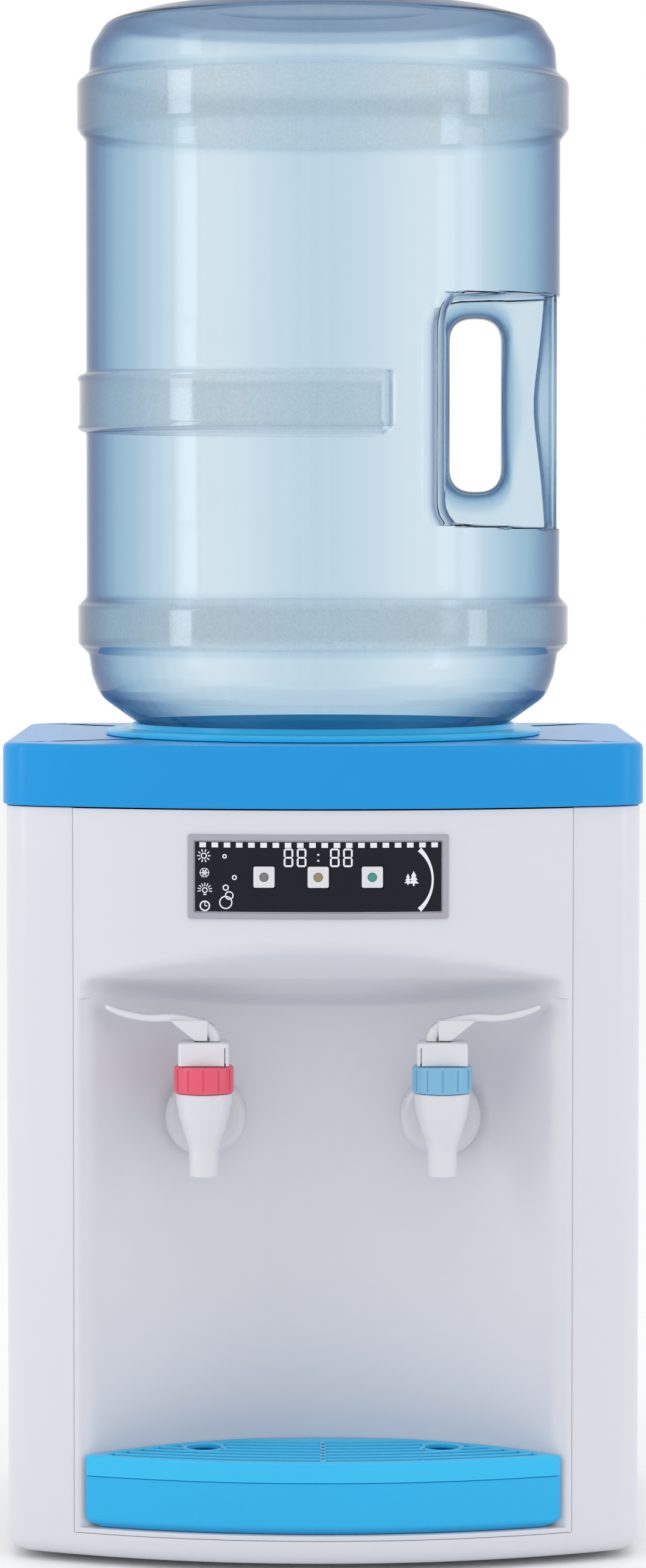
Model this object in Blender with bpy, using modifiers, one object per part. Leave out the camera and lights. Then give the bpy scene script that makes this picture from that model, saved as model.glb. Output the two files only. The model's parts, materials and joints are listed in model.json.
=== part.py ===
"""Countertop water dispenser with a hot and a cold tap, a drip tray and an upturned bottle.

Metres, +Z up. The front faces -Y, and the origin is on the standing surface under the centre.
"""
import math

import bmesh
import bpy
from mathutils import Matrix, Vector

# Driving dimensions
CABINET_WIDTH = 0.335
CABINET_DEPTH = 0.300
FRONT_BOW = 0.042  # how far the front bulges over the whole width
CORNER_RADIUS = 0.022
WALL = 0.0025
GAP = 0.0003  # between pieces that touch
FOOT_HEIGHT = 0.0037
CASING_LOW = FOOT_HEIGHT + GAP
CASING_HIGH = 0.400
COVER_HEIGHT = 0.033
COVER_OVERHANG = 0.0017
PANEL_HALF = 0.1308  # front panel, between its two seams
REAR_HALF = 0.150  # rear cover
STRIP_HIGH = 0.0172  # front strip of the casing under the panel

NICHE_HALF = 0.126
NICHE_BACK = -0.072  # deepest point of the niche's back wall
NICHE_FLOOR = 0.0200
NICHE_CEILING = (  # (y, z) of the flared ceiling, back to front
    (-0.060, 0.2890), (-0.072, 0.2924), (-0.100, 0.3000), (-0.1269, 0.3103),
    (-0.1400, 0.3192), (-0.1500, 0.3297), (-0.1600, 0.3450),
)

DISPLAY_X = -0.0025
DISPLAY_Z = 0.3652
DISPLAY_HALF = (0.0678, 0.0219)
WINDOW_HALF = (0.0647, 0.0188)
KEY_PITCH = 0.0281
KEY_SIZE = 0.0111
KEY_REACH = 0.0040  # how far a key reaches in behind the front
KEY_TRAVEL = 0.0012

TAP_X = 0.0625
TAP_Y = -0.125
TAP_BOSS = -0.0955  # front plane of the flat boss behind each tap
BOSS_RADIUS = 0.0215
TAP_LOW = 0.2060
NUT_LOW = 0.2505
NUT_HIGH = 0.2645
NUT_RADIUS = 0.0157
SHANK_Z = 0.2340
SHANK_RADIUS = 0.0068
SHANK_LENGTH = 0.072
BLOCK_HIGH = 0.2772
PIN_Z = 0.2826
PIN_RADIUS = 0.0013

TRAY_TOP = 0.0476
GRILLE_TOP = 0.0585
SLAT = 0.0032
SLOT = 0.0054
SLOT_ROWS = 7
FIRST_SLOT = 0.0060  # from the front edge
RING_X = 0.0632  # ring that marks where a glass stands
RING_Y = -0.1010
RING_OUTER = 0.0120
RING_INNER = 0.0092

COLLAR_RADIUS = 0.1185
COLLAR_TOP = 0.4398
BOTTLE_WALL = 0.0018
BOTTLE_BODY = 0.1290
BOTTLE_BAND = 0.1337
MIDDLE_BAND = (0.5970, 0.6305)  # z low, z high
BAND_SWEEP = (73.5, 286.5)  # degrees from +X, open on the handle's side
HANDLE_HOLE = (0.0690, 0.0970, 0.5655, 0.6594)  # x low, x high, z low, z high
HANDLE_RECESS = (0.0645, 0.1500, 0.5450, 0.6720)
HANDLE_HALF_DEPTH = 0.0270
MOUTH_LOW = 0.3370
MOUTH_RADIUS = 0.0275

FAN_CENTRE = (0.060, 0.2400)
FAN_HALF = 0.040
FAN_FRONT = 0.1185
FAN_BACK = 0.1435
COLD_AXIS = (0.060, 0.034)
HOT_AXIS = (-0.070, 0.050)

SWITCH_X = (-0.110, -0.080)
SWITCH_Y = 0.1465
SWITCH_Z = 0.300
SWITCH_TILT = 9.0  # degrees to each side
INLET_X = 0.105
INLET_Z = 0.070
DRAIN = (0.0, 0.045)
SCREW_X = 0.142
SCREW_Z = (0.035, 0.385)
VENT_HALF = 0.0018  # half the height of a vent slot
FAN_VENTS = (9, 0.008, 0.034)  # rows, pitch, half length
LOW_VENTS = (6, 0.010, 0.090, -0.110, -0.040)  # rows, pitch, lowest, x low, x high
FOOT_X = 0.125
FOOT_FRONT = -0.090
FOOT_REAR = 0.115

half_width = CABINET_WIDTH / 2
front = -CABINET_DEPTH / 2
rear = CABINET_DEPTH / 2
bow_radius = (half_width**2 + FRONT_BOW**2) / (2 * FRONT_BOW)
bow_centre = front + bow_radius
cover_low = CASING_HIGH + GAP
cover_high = cover_low + COVER_HEIGHT

MATERIALS = {  # name: colour, roughness, metallic
    "white_plastic": ((0.66, 0.66, 0.71), 0.32, 0),
    "cover_blue": ((0.010, 0.275, 0.660), 0.30, 0),
    "tray_blue": ((0.042, 0.470, 0.830), 0.32, 0),
    "display_grey": ((0.35, 0.35, 0.40), 0.40, 0),
    "display_black": ((0.020, 0.020, 0.030), 0.12, 0),
    "key_white": ((0.70, 0.70, 0.74), 0.35, 0),
    "tap_white": ((0.67, 0.67, 0.71), 0.28, 0),
    "nut_red": ((0.753, 0.109, 0.181), 0.35, 0),
    "nut_blue": ((0.220, 0.462, 0.658), 0.35, 0),
    "bottle_plastic": ((0.36, 0.57, 0.75), 0.12, 0),
    "cap_blue": ((0.03, 0.16, 0.50), 0.40, 0),
    "steel": ((0.60, 0.60, 0.61), 0.28, 1),
    "aluminium": ((0.72, 0.73, 0.74), 0.38, 1),
    "black_plastic": ((0.025, 0.025, 0.027), 0.45, 0),
    "circuit_board": ((0.02, 0.16, 0.07), 0.50, 0),
    "foam": ((0.75, 0.73, 0.66), 0.90, 0),
    "silicone": ((0.72, 0.74, 0.74), 0.45, 0),
    "rubber": ((0.020, 0.020, 0.020), 0.75, 0),
    "switch_red": ((0.55, 0.03, 0.03), 0.35, 0),
    "switch_green": ((0.03, 0.35, 0.10), 0.35, 0),
    "ceramic": ((0.85, 0.85, 0.83), 0.50, 0),
}


def clear_scene():
    for item in list(bpy.data.objects):
        bpy.data.objects.remove(item, do_unlink=True)


def make_material(name):
    colour, roughness, metallic = MATERIALS[name]
    material = bpy.data.materials.new(name)
    material.use_nodes = True
    shader = material.node_tree.nodes["Principled BSDF"]
    shader.inputs["Base Color"].default_value = (*colour, 1)
    shader.inputs["Roughness"].default_value = roughness
    shader.inputs["Metallic"].default_value = metallic
    return material


clear_scene()
parts = bpy.data.collections.new("water_dispenser")
cutters = bpy.data.collections.new("cutters")
for group in (parts, cutters):
    bpy.context.scene.collection.children.link(group)
materials = {name: make_material(name) for name in MATERIALS}


# Building blocks


def place(name, mesh, material=None):
    """A named part with its material, or a hidden cutter where no material is given."""
    item = bpy.data.objects.new(name, mesh)
    if material is None:
        cutters.objects.link(item)
        item.hide_render = True
        item.display_type = "WIRE"
        return item
    parts.objects.link(item)
    mesh.materials.clear()
    mesh.materials.append(materials[material])
    mesh.shade_smooth()
    mesh.set_sharp_from_angle(angle=math.radians(35))
    return item


def finish_mesh(name, bm, material=None):
    mesh = bpy.data.meshes.new(name)
    bmesh.ops.recalc_face_normals(bm, faces=bm.faces)
    bm.to_mesh(mesh)
    bm.free()
    return place(name, mesh, material)


def box(name, low, high, material=None, bevel=0.0):
    low, high = Vector(low), Vector(high)
    bm = bmesh.new()
    matrix = Matrix.Translation((low + high) / 2) @ Matrix.Diagonal((*(high - low), 1))
    bmesh.ops.create_cube(bm, size=1, matrix=matrix)
    item = finish_mesh(name, bm, material)
    if bevel:
        round_edges(item, bevel)
    return item


def round_edges(item, width, segments=2):
    bevel = item.modifiers.new("rounded", "BEVEL")
    bevel.width = width
    bevel.segments = segments
    bevel.limit_method = "ANGLE"
    bevel.angle_limit = math.radians(40)
    return item


def round_rim(item, height, width, segments):
    """Rounds only the flat outline that lies at one height."""
    bevel = round_edges(item, width, segments).modifiers["rounded"]
    rim = item.vertex_groups.new(name="rim")
    rim.add([v.index for v in item.data.vertices if abs(v.co.z - height) < 1e-4], 1.0, "REPLACE")
    bevel.limit_method = "VGROUP"
    bevel.vertex_group = "rim"


AXIS_TURN = {
    "X": Matrix.Rotation(math.radians(90), 4, "Y"),
    "Y": Matrix.Rotation(math.radians(-90), 4, "X"),
    "-Y": Matrix.Rotation(math.radians(90), 4, "X"),
    "Z": Matrix.Identity(4),
}


def rod(name, centre, radius, length, axis="Z", material=None, sides=24, top=None):
    """A cylinder, or a cone where the radius at its far end is given."""
    bm = bmesh.new()
    far = radius if top is None else top
    bmesh.ops.create_cone(
        bm, cap_ends=True, segments=sides, radius1=radius, radius2=far, depth=length,
        matrix=Matrix.Translation(centre) @ AXIS_TURN[axis],
    )
    return finish_mesh(name, bm, material)


def mesh_from_curve(name, curve):
    """Turns a curve into a welded mesh, and removes the curve."""
    guide = bpy.data.objects.new(name + "_guide", curve)
    bpy.context.scene.collection.objects.link(guide)
    bpy.context.view_layer.update()
    evaluated = guide.evaluated_get(bpy.context.evaluated_depsgraph_get())
    mesh = bpy.data.meshes.new_from_object(evaluated)
    bm = bmesh.new()
    bm.from_mesh(mesh)
    bmesh.ops.remove_doubles(bm, verts=bm.verts, dist=1e-6)
    bpy.data.objects.remove(guide, do_unlink=True)
    return bm


def prism(name, outlines, low, high, material=None, axis="Z"):
    """Flat closed outlines, pushed from low to high along an axis.

    Outlines are (x, y) along Z, (x, z) along Y and (y, z) along X.
    """
    curve = bpy.data.curves.new(name, "CURVE")
    curve.dimensions = "2D"
    curve.fill_mode = "BOTH"
    curve.extrude = (high - low) / 2
    for outline in outlines:
        spline = curve.splines.new("POLY")
        spline.points.add(len(outline) - 1)
        for point, (u, v) in zip(spline.points, outline):
            point.co = (u, v, 0, 1)
        spline.use_cyclic_u = True
    middle = (low + high) / 2
    turn = {
        "Z": Matrix.Translation((0, 0, middle)),
        "Y": Matrix.Translation((0, middle, 0)) @ Matrix.Rotation(math.radians(90), 4, "X"),
        "X": Matrix(((0, 0, 1, middle), (1, 0, 0, 0), (0, 1, 0, 0), (0, 0, 0, 1))),
    }[axis]
    bm = mesh_from_curve(name, curve)
    if len(outlines) == 1:
        bm.normal_update()
        bmesh.ops.dissolve_limit(bm, angle_limit=0.001, verts=bm.verts, edges=bm.edges)
    bm.transform(turn)
    return finish_mesh(name, bm, material)


def tube(name, points, radius, material, resolution=2):
    curve = bpy.data.curves.new(name, "CURVE")
    curve.dimensions = "3D"
    curve.bevel_depth = radius
    curve.bevel_resolution = resolution
    curve.use_fill_caps = True
    spline = curve.splines.new("POLY")
    spline.points.add(len(points) - 1)
    for point, position in zip(spline.points, points):
        point.co = (*position, 1)
    return finish_mesh(name, mesh_from_curve(name, curve), material)


def turned(name, profile, centre, material=None, axis="Z", sides=32):
    """A turned shape: (radius, height) from the top down its outer side, then up its inner side."""
    bm = bmesh.new()
    corners = [bm.verts.new((radius, 0, height)) for radius, height in profile]
    for first, second in zip(corners, corners[1:]):
        bm.edges.new((first, second))
    if profile[0][0] > 0:
        bm.edges.new((corners[-1], corners[0]))
    mesh = bpy.data.meshes.new(name)
    bm.to_mesh(mesh)
    bm.free()
    item = place(name, mesh, material)
    item.matrix_world = Matrix.Translation(centre) @ AXIS_TURN[axis]
    screw = item.modifiers.new("turned", "SCREW")
    screw.steps = screw.render_steps = sides
    screw.use_merge_vertices = True
    screw.merge_threshold = 0.00001
    screw.use_smooth_shade = False
    return item


def boolean(item, other, operation="DIFFERENCE"):
    step = item.modifiers.new(other.name, "BOOLEAN")
    step.operation = operation
    step.solver = "EXACT"
    step.object = other
    return item


def arc(centre, radius, start, end, count):
    """Points on a circle, angles in degrees."""
    points = []
    for index in range(count + 1):
        angle = math.radians(start + (end - start) * index / count)
        points.append((centre[0] + radius * math.cos(angle), centre[1] + radius * math.sin(angle)))
    return points


def rounded_rectangle(low, high, radius, count=4):
    corners = (
        ((high[0] - radius, high[1] - radius), 0),
        ((low[0] + radius, high[1] - radius), 90),
        ((low[0] + radius, low[1] + radius), 180),
        ((high[0] - radius, low[1] + radius), 270),
    )
    outline = []
    for centre, start in corners:
        outline += arc(centre, radius, start, start + 90, count)
    return outline


def bow_y(x, inset=0.0):
    """Depth of the bowed front at x, moved in by inset."""
    return bow_centre - math.sqrt((bow_radius - inset) ** 2 - x * x)


def cabinet_plan(inset=0.0):
    """Plan of the cabinet: bowed front, rounded corners, straight sides and back."""
    side = half_width - inset
    radius = max(CORNER_RADIUS - inset, 0.001)
    big = bow_radius - inset
    corner_x = side - radius
    corner_y = bow_centre - math.sqrt((big - radius) ** 2 - corner_x**2)
    join = math.degrees(math.atan2(corner_y - bow_centre, corner_x))
    right = arc((0, bow_centre), big, -90, join, 6)
    right += arc((corner_x, corner_y), radius, join, 0, 4)[1:]
    right += arc((corner_x, rear - inset - radius), radius, 0, 90, 3)
    left = [(-x, y) for x, y in reversed(right[1:])]
    return right + left


def bowed_slab(name, x_low, x_high, z_low, z_high, outer, inner, material=None, count=12):
    """A slab that follows the bowed front, from outer to inner behind the front face."""
    xs = [x_low + (x_high - x_low) * index / count for index in range(count + 1)]
    outline = [(x, bow_y(x, outer)) for x in xs]
    outline += [(x, bow_y(x, inner)) for x in reversed(xs)]
    return prism(name, [outline], z_low, z_high, material)


def lens(half, back, front_inset, count=16):
    """Plan between the bowed front and the concave back wall of the niche."""
    front_end = bow_y(half, front_inset)
    depth = back - front_end
    radius = (half * half + depth * depth) / (2 * depth)
    centre_y = back - radius
    reach = math.degrees(math.asin(half / radius))
    outline = arc((0, centre_y), radius, 90 - reach, 90 + reach, count)
    for index in range(1, count):
        x = -half + 2 * half * index / count
        outline.append((x, bow_y(x, front_inset)))
    return outline


def niche_plan(grow=0.0, reach=0.030):
    """The niche's plan, with its open front carried past the cabinet."""
    outline = lens(NICHE_HALF + grow, NICHE_BACK + grow, 0, 20)[:21]
    end = NICHE_HALF + grow
    return outline + [(-end, front - reach), (end, front - reach)]


# Casing, panels and covers


def make_casing():
    casing = prism("casing", [cabinet_plan()], CASING_LOW, CASING_HIGH, "white_plastic")
    round_rim(casing, CASING_LOW, 0.008, 2)
    inside = prism("casing_inside", [cabinet_plan(WALL)], CASING_LOW + WALL, CASING_HIGH + 0.01)
    round_rim(inside, CASING_LOW + WALL, 0.006, 2)
    boolean(casing, inside)
    boolean(casing, box("front_opening", (-PANEL_HALF - GAP, front - 0.02, STRIP_HIGH),
                        (PANEL_HALF + GAP, front + 0.055, CASING_HIGH + 0.02)))
    boolean(casing, box("rear_opening", (-REAR_HALF, rear - 0.030, STRIP_HIGH + 0.003),
                        (REAR_HALF, rear + 0.02, CASING_HIGH + 0.02)))
    return casing


def make_boss(name, side):
    """Cylinder from the niche's back wall to the flat seat of a tap."""
    return rod(name, (side * TAP_X, (TAP_BOSS + NICHE_BACK) / 2, SHANK_Z), BOSS_RADIUS,
               NICHE_BACK - TAP_BOSS, "Y", sides=32)


def make_front_panel():
    """Bowed panel with the display opening, the niche bucket and two tap bosses."""
    low = STRIP_HIGH + GAP
    high = CASING_HIGH - GAP
    panel = bowed_slab("front_panel", -PANEL_HALF, PANEL_HALF, low, high, 0, WALL,
                       "white_plastic", 20)
    bucket = prism("niche_bucket", [lens(NICHE_HALF + WALL, NICHE_BACK + WALL, WALL / 2, 20)],
                   low, 0.3400)
    roof = [(y, z + WALL) for y, z in NICHE_CEILING]
    above = [(roof[0][0] + 0.02, roof[0][1] - 0.007)] + roof
    above += [(roof[-1][0] - 0.01, roof[-1][1] + 0.02), (roof[-1][0] - 0.01, 0.40)]
    above.append((above[0][0], 0.40))
    boolean(bucket, prism("above_bucket", [above], -0.2, 0.2, axis="X"))
    boolean(panel, bucket, "UNION")
    for side in (-1, 1):
        boolean(panel, make_boss(f"tap_boss_{side}", side), "UNION")
    void = prism("niche_void", [niche_plan()], NICHE_FLOOR, 0.3600)
    ceiling = [(NICHE_CEILING[0][0] + 0.02, NICHE_CEILING[0][1] - 0.006)] + list(NICHE_CEILING)
    ceiling += [(-0.200, 0.385), (-0.200, 0.40), (ceiling[0][0], 0.40)]
    boolean(void, prism("niche_ceiling", [ceiling], -0.2, 0.2, axis="X"))
    for side in (-1, 1):
        boolean(void, make_boss(f"boss_keep_{side}", side))
    boolean(panel, void)
    for side in (-1, 1):
        hole = rod(f"shank_hole_{side}", (side * TAP_X, -0.08, SHANK_Z), SHANK_RADIUS + 0.001,
                   0.06, "Y", sides=20)
        boolean(panel, hole)
    boolean(panel, box("display_opening",
                       (DISPLAY_X - WINDOW_HALF[0] + 0.0006, front - 0.02,
                        DISPLAY_Z - WINDOW_HALF[1] + 0.0006),
                       (DISPLAY_X + WINDOW_HALF[0] - 0.0006, front + 0.03,
                        DISPLAY_Z + WINDOW_HALF[1] - 0.0006)))
    return panel


def vent_slots(rows, pitch, lowest, x_low, x_high):
    slots = []
    for row in range(rows):
        z = lowest + row * pitch
        slots.append(rounded_rectangle((x_low, z - VENT_HALF), (x_high, z + VENT_HALF),
                                       VENT_HALF - 0.0001, 2))
    return slots


def make_rear_cover():
    cover = box("rear_cover", (-REAR_HALF + GAP, rear - WALL, STRIP_HIGH + 0.003 + GAP),
                (REAR_HALF - GAP, rear, CASING_HIGH - GAP), "white_plastic")
    rows, pitch, half = FAN_VENTS
    x, z = FAN_CENTRE
    slots = vent_slots(rows, pitch, z - pitch * (rows - 1) / 2, x - half, x + half)
    slots += vent_slots(*LOW_VENTS)
    for x in SWITCH_X:
        slots.append([(x - 0.0065, SWITCH_Z - 0.0105), (x + 0.0065, SWITCH_Z - 0.0105),
                      (x + 0.0065, SWITCH_Z + 0.0105), (x - 0.0065, SWITCH_Z + 0.0105)])
    slots.append(rounded_rectangle((INLET_X - 0.0140, INLET_Z - 0.0105),
                                   (INLET_X + 0.0140, INLET_Z + 0.0105), 0.002, 2))
    slots.append(arc(DRAIN, 0.0066, 0, 337.5, 15))
    for x, z in screw_places():
        slots.append(arc((x, z), 0.0019, 0, 324, 9))
    boolean(cover, prism("rear_openings", slots, rear - 0.01, rear + 0.01, axis="Y"))
    return cover


def screw_places():
    return [(x, z) for x in (-SCREW_X, SCREW_X) for z in SCREW_Z]


def make_top_cover():
    cover = prism("top_cover", [cabinet_plan(-COVER_OVERHANG)], cover_low, cover_high, "cover_blue")
    round_rim(cover, cover_high, 0.0035, 2)
    boolean(cover, prism("cover_inside", [cabinet_plan(WALL)], cover_low - 0.01, cover_high - WALL))
    boolean(cover, rod("cover_hole", (0, 0, cover_high), 0.1010, 0.02, sides=32))
    return cover


def make_collar():
    """Ring on the cover with the funnel that the bottle stands in."""
    base = cover_high + GAP
    profile = [
        (0.1045, COLLAR_TOP), (0.1045, base + 0.0033), (COLLAR_RADIUS, base + 0.0030),
        (COLLAR_RADIUS, base), (0.1005, base), (0.1005, 0.4250), (0.0640, 0.4020),
        (0.0395, 0.3860), (0.0395, 0.3170), (0.0078, 0.3170), (0.0078, 0.3200),
        (0.0370, 0.3200), (0.0370, 0.3875), (0.0630, 0.4045), (0.0985, 0.4275),
        (0.0985, COLLAR_TOP - 0.0032), (0.1020, COLLAR_TOP),
    ]
    return turned("bottle_collar", profile, (0, 0, 0), "cover_blue", sides=32)


def make_spike():
    profile = [
        (0.0, 0.3980), (0.0030, 0.3960), (0.0090, 0.3820), (0.0090, 0.3236), (0.0160, 0.3236),
        (0.0160, 0.3203), (0.0074, 0.3203), (0.0074, 0.3000), (0.0, 0.3000),
    ]
    return turned("water_spike", profile, (0, 0, 0), "white_plastic", sides=16)


# Display and keys


def make_display():
    x, z = DISPLAY_X, DISPLAY_Z
    frame = bowed_slab("display_frame", x - DISPLAY_HALF[0], x + DISPLAY_HALF[0],
                       z - DISPLAY_HALF[1], z + DISPLAY_HALF[1], -0.0014, -GAP, "display_grey")
    boolean(frame, box("frame_opening",
                       (x - WINDOW_HALF[0], front - 0.02, z - WINDOW_HALF[1]),
                       (x + WINDOW_HALF[0], front + 0.03, z + WINDOW_HALF[1])))
    reach = (WINDOW_HALF[0] - 0.0009, WINDOW_HALF[1] - 0.0009)
    window = bowed_slab("display_window", x - reach[0], x + reach[0], z - reach[1], z + reach[1],
                        -0.0011, 0.0012, "display_black")
    for name, key_x in keys():
        size = KEY_SIZE / 2 + GAP
        boolean(window, box(name + "_hole", (key_x - size, front - 0.02, z - size),
                            (key_x + size, front + 0.03, z + size)))
        y = bow_y(key_x)
        half = KEY_SIZE / 2
        box(name, (key_x - half, y - 0.0022, z - half), (key_x + half, y + KEY_REACH, z + half),
            "key_white", 0.0006)
    board = KEY_REACH + KEY_TRAVEL + 0.0023  # clear of a pressed key
    bowed_slab("display_board", x - 0.060, x + 0.060, z - 0.017, z + 0.017, board, board + 0.0016,
               "circuit_board")


def keys():
    names = ("key_left", "key_middle", "key_right")
    return [(name, DISPLAY_X + (index - 1) * KEY_PITCH) for index, name in enumerate(names)]


# Taps


def lever_outline(side):
    """Side view of a tap lever, from its neck over the block to the thumb tip."""
    centre = [(0.0050, -0.0050), (0.0047, 0.0010), (0.0030, 0.0052), (-0.0010, 0.0074),
              (-0.0070, 0.0086), (-0.0160, 0.0086), (-0.0290, 0.0082), (-0.0420, 0.0106),
              (-0.0520, 0.0136)]
    thick = [0.0044, 0.0044, 0.0042, 0.0040, 0.0038, 0.0036, 0.0032, 0.0028, 0.0014]
    upper, lower = [], []
    for index, (u, v) in enumerate(centre):
        before = centre[max(index - 1, 0)]
        after = centre[min(index + 1, len(centre) - 1)]
        run = Vector((after[0] - before[0], after[1] - before[1])).normalized()
        across = Vector((-run.y, run.x)) * thick[index] / 2
        upper.append((u - across.x, v - across.y))
        lower.append((u + across.x, v + across.y))
    outline = upper + lower[::-1]
    return [(TAP_X * side - side * u, PIN_Z + v) for u, v in outline]


def make_tap(name, side, nut_material):
    x, y = side * TAP_X, TAP_Y
    turned(f"{name}_escutcheon",
           [(0.0180, 0.0030), (0.0210, 0.0012), (0.0210, 0), (0.0076, 0), (0.0076, 0.0030)],
           (x, TAP_BOSS - GAP, SHANK_Z), "tap_white", "-Y", 24)

    body = turned(f"{name}_tap_body", [
        (0.0125, 0.2600), (0.0125, NUT_LOW - GAP), (0.0149, NUT_LOW - GAP), (0.0146, 0.2456),
        (0.0131, 0.2372), (0.0106, 0.2290), (0.0090, 0.2245), (0.0079, 0.2202),
        (0.0076, TAP_LOW), (0.0058, TAP_LOW), (0.0058, 0.2230), (0.0060, 0.2262),
        (0.0088, 0.2290), (0.0102, 0.2330), (0.0102, 0.2600),
    ], (x, y, 0), "tap_white", sides=20)
    shank = rod(f"{name}_shank", (x, y + 0.0125 + SHANK_LENGTH / 2, SHANK_Z), SHANK_RADIUS,
                SHANK_LENGTH, "Y", sides=20)
    boolean(body, shank, "UNION")
    boolean(body, rod(f"{name}_shank_bore", (x, y + 0.060, SHANK_Z), 0.0040, 0.108, "Y", sides=16))

    turned(f"{name}_tap_nut", [
        (NUT_RADIUS - 0.0008, NUT_HIGH), (NUT_RADIUS, NUT_HIGH - 0.0008),
        (NUT_RADIUS, NUT_LOW + 0.0006), (NUT_RADIUS - 0.0006, NUT_LOW), (0.0128, NUT_LOW),
        (0.0128, 0.2612), (0.0047, 0.2612), (0.0047, NUT_HIGH),
    ], (x, y, 0), nut_material, sides=20)

    block = box(f"{name}_tap_block", (x - 0.0134, y - 0.0105, NUT_HIGH + GAP),
                (x + 0.0134, y + 0.0105, BLOCK_HIGH), "tap_white", 0.0012)
    boolean(block, box(f"{name}_block_hole", (x - 0.0050, y - 0.0050, NUT_HIGH - 0.01),
                       (x + 0.0050, y + 0.0050, BLOCK_HIGH + 0.01)))

    stem = turned(f"{name}_tap_stem", [
        (0.0, 0.2700), (0.0040, 0.2700), (0.0040, 0.2360), (0.0086, 0.2355), (0.0086, 0.2320),
        (0.0045, 0.2266), (0.0, 0.2266),
    ], (x, y, 0), "silicone", sides=14)
    boolean(stem, box(f"{name}_tongue", (x - 0.0032, y - 0.0022, 0.2660),
                      (x + 0.0032, y + 0.0022, PIN_Z + 0.0034)), "UNION")
    boolean(stem, rod(f"{name}_tongue_hole", (x, y, PIN_Z), PIN_RADIUS + 0.0003, 0.02, "Y",
                      sides=16))

    turns, coil = 4, []
    low, high = 0.2369, 0.2601
    for index in range(turns * 6 + 1):
        angle = 2 * math.pi * index / 6
        height = low + (high - low) * index / (turns * 6)
        coil.append((x + 0.0064 * math.cos(angle), y + 0.0064 * math.sin(angle), height))
    tube(f"{name}_tap_spring", coil, 0.0006, "steel", 1)

    lever = prism(f"{name}_tap_lever", [lever_outline(side)], y - 0.0058, y + 0.0058,
                  "tap_white", "Y")
    web = [(-0.0170, 0.0072), (-0.0045, -0.0045), (0.0036, -0.0045), (0.0036, 0.0050)]
    boolean(lever, prism(f"{name}_lever_web", [[(x - side * u, PIN_Z + v) for u, v in web]],
                         y - 0.0056, y + 0.0056, axis="Y"), "UNION")
    boolean(lever, box(f"{name}_fork_slot", (x - 0.0055, y - 0.0027, PIN_Z - 0.0060),
                       (x + 0.0055, y + 0.0027, PIN_Z + 0.0050)))
    boolean(lever, rod(f"{name}_eye_hole", (x, y, PIN_Z), PIN_RADIUS + 0.0003, 0.03, "Y",
                       sides=16))
    rod(f"{name}_lever_pin", (x, y, PIN_Z), PIN_RADIUS, 0.0130, "Y", "steel", 12)


# Drip tray


def make_tray():
    clearance = 0.0006
    half = NICHE_HALF - 2 * clearance
    back = NICHE_BACK - clearance
    tray = prism("drip_tray", [lens(half, back, 0.0005)], NICHE_FLOOR + GAP, TRAY_TOP, "tray_blue")
    boolean(tray, prism("tray_inside", [lens(half - 0.0050, back - 0.0022, 0.0027)],
                        NICHE_FLOOR + GAP + 0.0022, TRAY_TOP + 0.01))

    grille = prism("tray_grille", [lens(half, back, 0.0002)], TRAY_TOP + GAP, GRILLE_TOP,
                   "tray_blue")
    boolean(grille, prism("grille_under", [lens(half - 0.0050, back - 0.0022, 0.0027)],
                          TRAY_TOP - 0.01, GRILLE_TOP - 0.0028))
    slots = []
    for row in range(SLOT_ROWS):
        near = FIRST_SLOT + row * (SLOT + SLAT)
        slots += slot_pair(near, near + SLOT, half, back)
    cutter = prism("grille_slots", slots, GRILLE_TOP - 0.02, GRILLE_TOP + 0.01)
    for side in (-1, 1):
        keep = rod(f"ring_keep_{side}", (side * RING_X, RING_Y, GRILLE_TOP), RING_OUTER, 0.06,
                   sides=20)
        boolean(cutter, keep)
    boolean(grille, cutter)
    for side in (-1, 1):
        boolean(grille, rod(f"ring_hole_{side}", (side * RING_X, RING_Y, GRILLE_TOP),
                            RING_INNER, 0.06, sides=20))
    return tray


def slot_pair(near, far, half, back):
    """A curved slot on each side of the middle rib, ending short of the back wall."""
    end = half
    wall = lens(half - 0.0055, back - 0.0035, 0.0)[:17]
    while end > 0.02 and bow_y(end, 0) + far > wall_y(wall, end):
        end -= 0.001
    xs = [0.0022 + (end - 0.0022) * index / 5 for index in range(6)]
    right = [(x, bow_y(x) + near) for x in xs] + [(x, bow_y(x) + far) for x in reversed(xs)]
    return [right, [(-x, y) for x, y in reversed(right)]]


def wall_y(wall, x):
    """Depth of the niche's back wall at x, read along its outline."""
    for (x_right, y_right), (x_left, y_left) in zip(wall, wall[1:]):
        if x_left <= x <= x_right:
            share = (x - x_left) / (x_right - x_left)
            return y_left + (y_right - y_left) * share
    return -1.0


# Bottle


def bottle_profile(shrink=0.0):
    """Outer profile from the crown down to the mouth, moved in by shrink."""
    body, band = BOTTLE_BODY - shrink, BOTTLE_BAND - shrink
    profile = [(0.0, 0.8290 - shrink), (0.0600, 0.8285 - shrink), (0.0960, 0.8262 - shrink)]
    profile += [(r - shrink, z - shrink * 0.5) for r, z in (
        (0.1140, 0.8215), (0.1232, 0.8140), (0.1264, 0.8040))]
    profile += [(0.1270 - shrink, 0.7920), (band - 0.0015, 0.7880), (band, 0.7850), (band, 0.7620),
                (body, 0.7560), (body, 0.5085), (band, 0.5035), (band, 0.4830), (body - 0.0010, 0.4775)]
    profile += [(r - shrink, z + shrink * 0.6) for r, z in (
        (0.1270, 0.4680), (0.1238, 0.4590), (0.1160, 0.4487), (0.1034, 0.4412),
        (0.0930, 0.4345), (0.0640, 0.4165), (0.0400, 0.4000), (0.0290, 0.3890))]
    profile += [(MOUTH_RADIUS - shrink, 0.3800)]
    return profile


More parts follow.
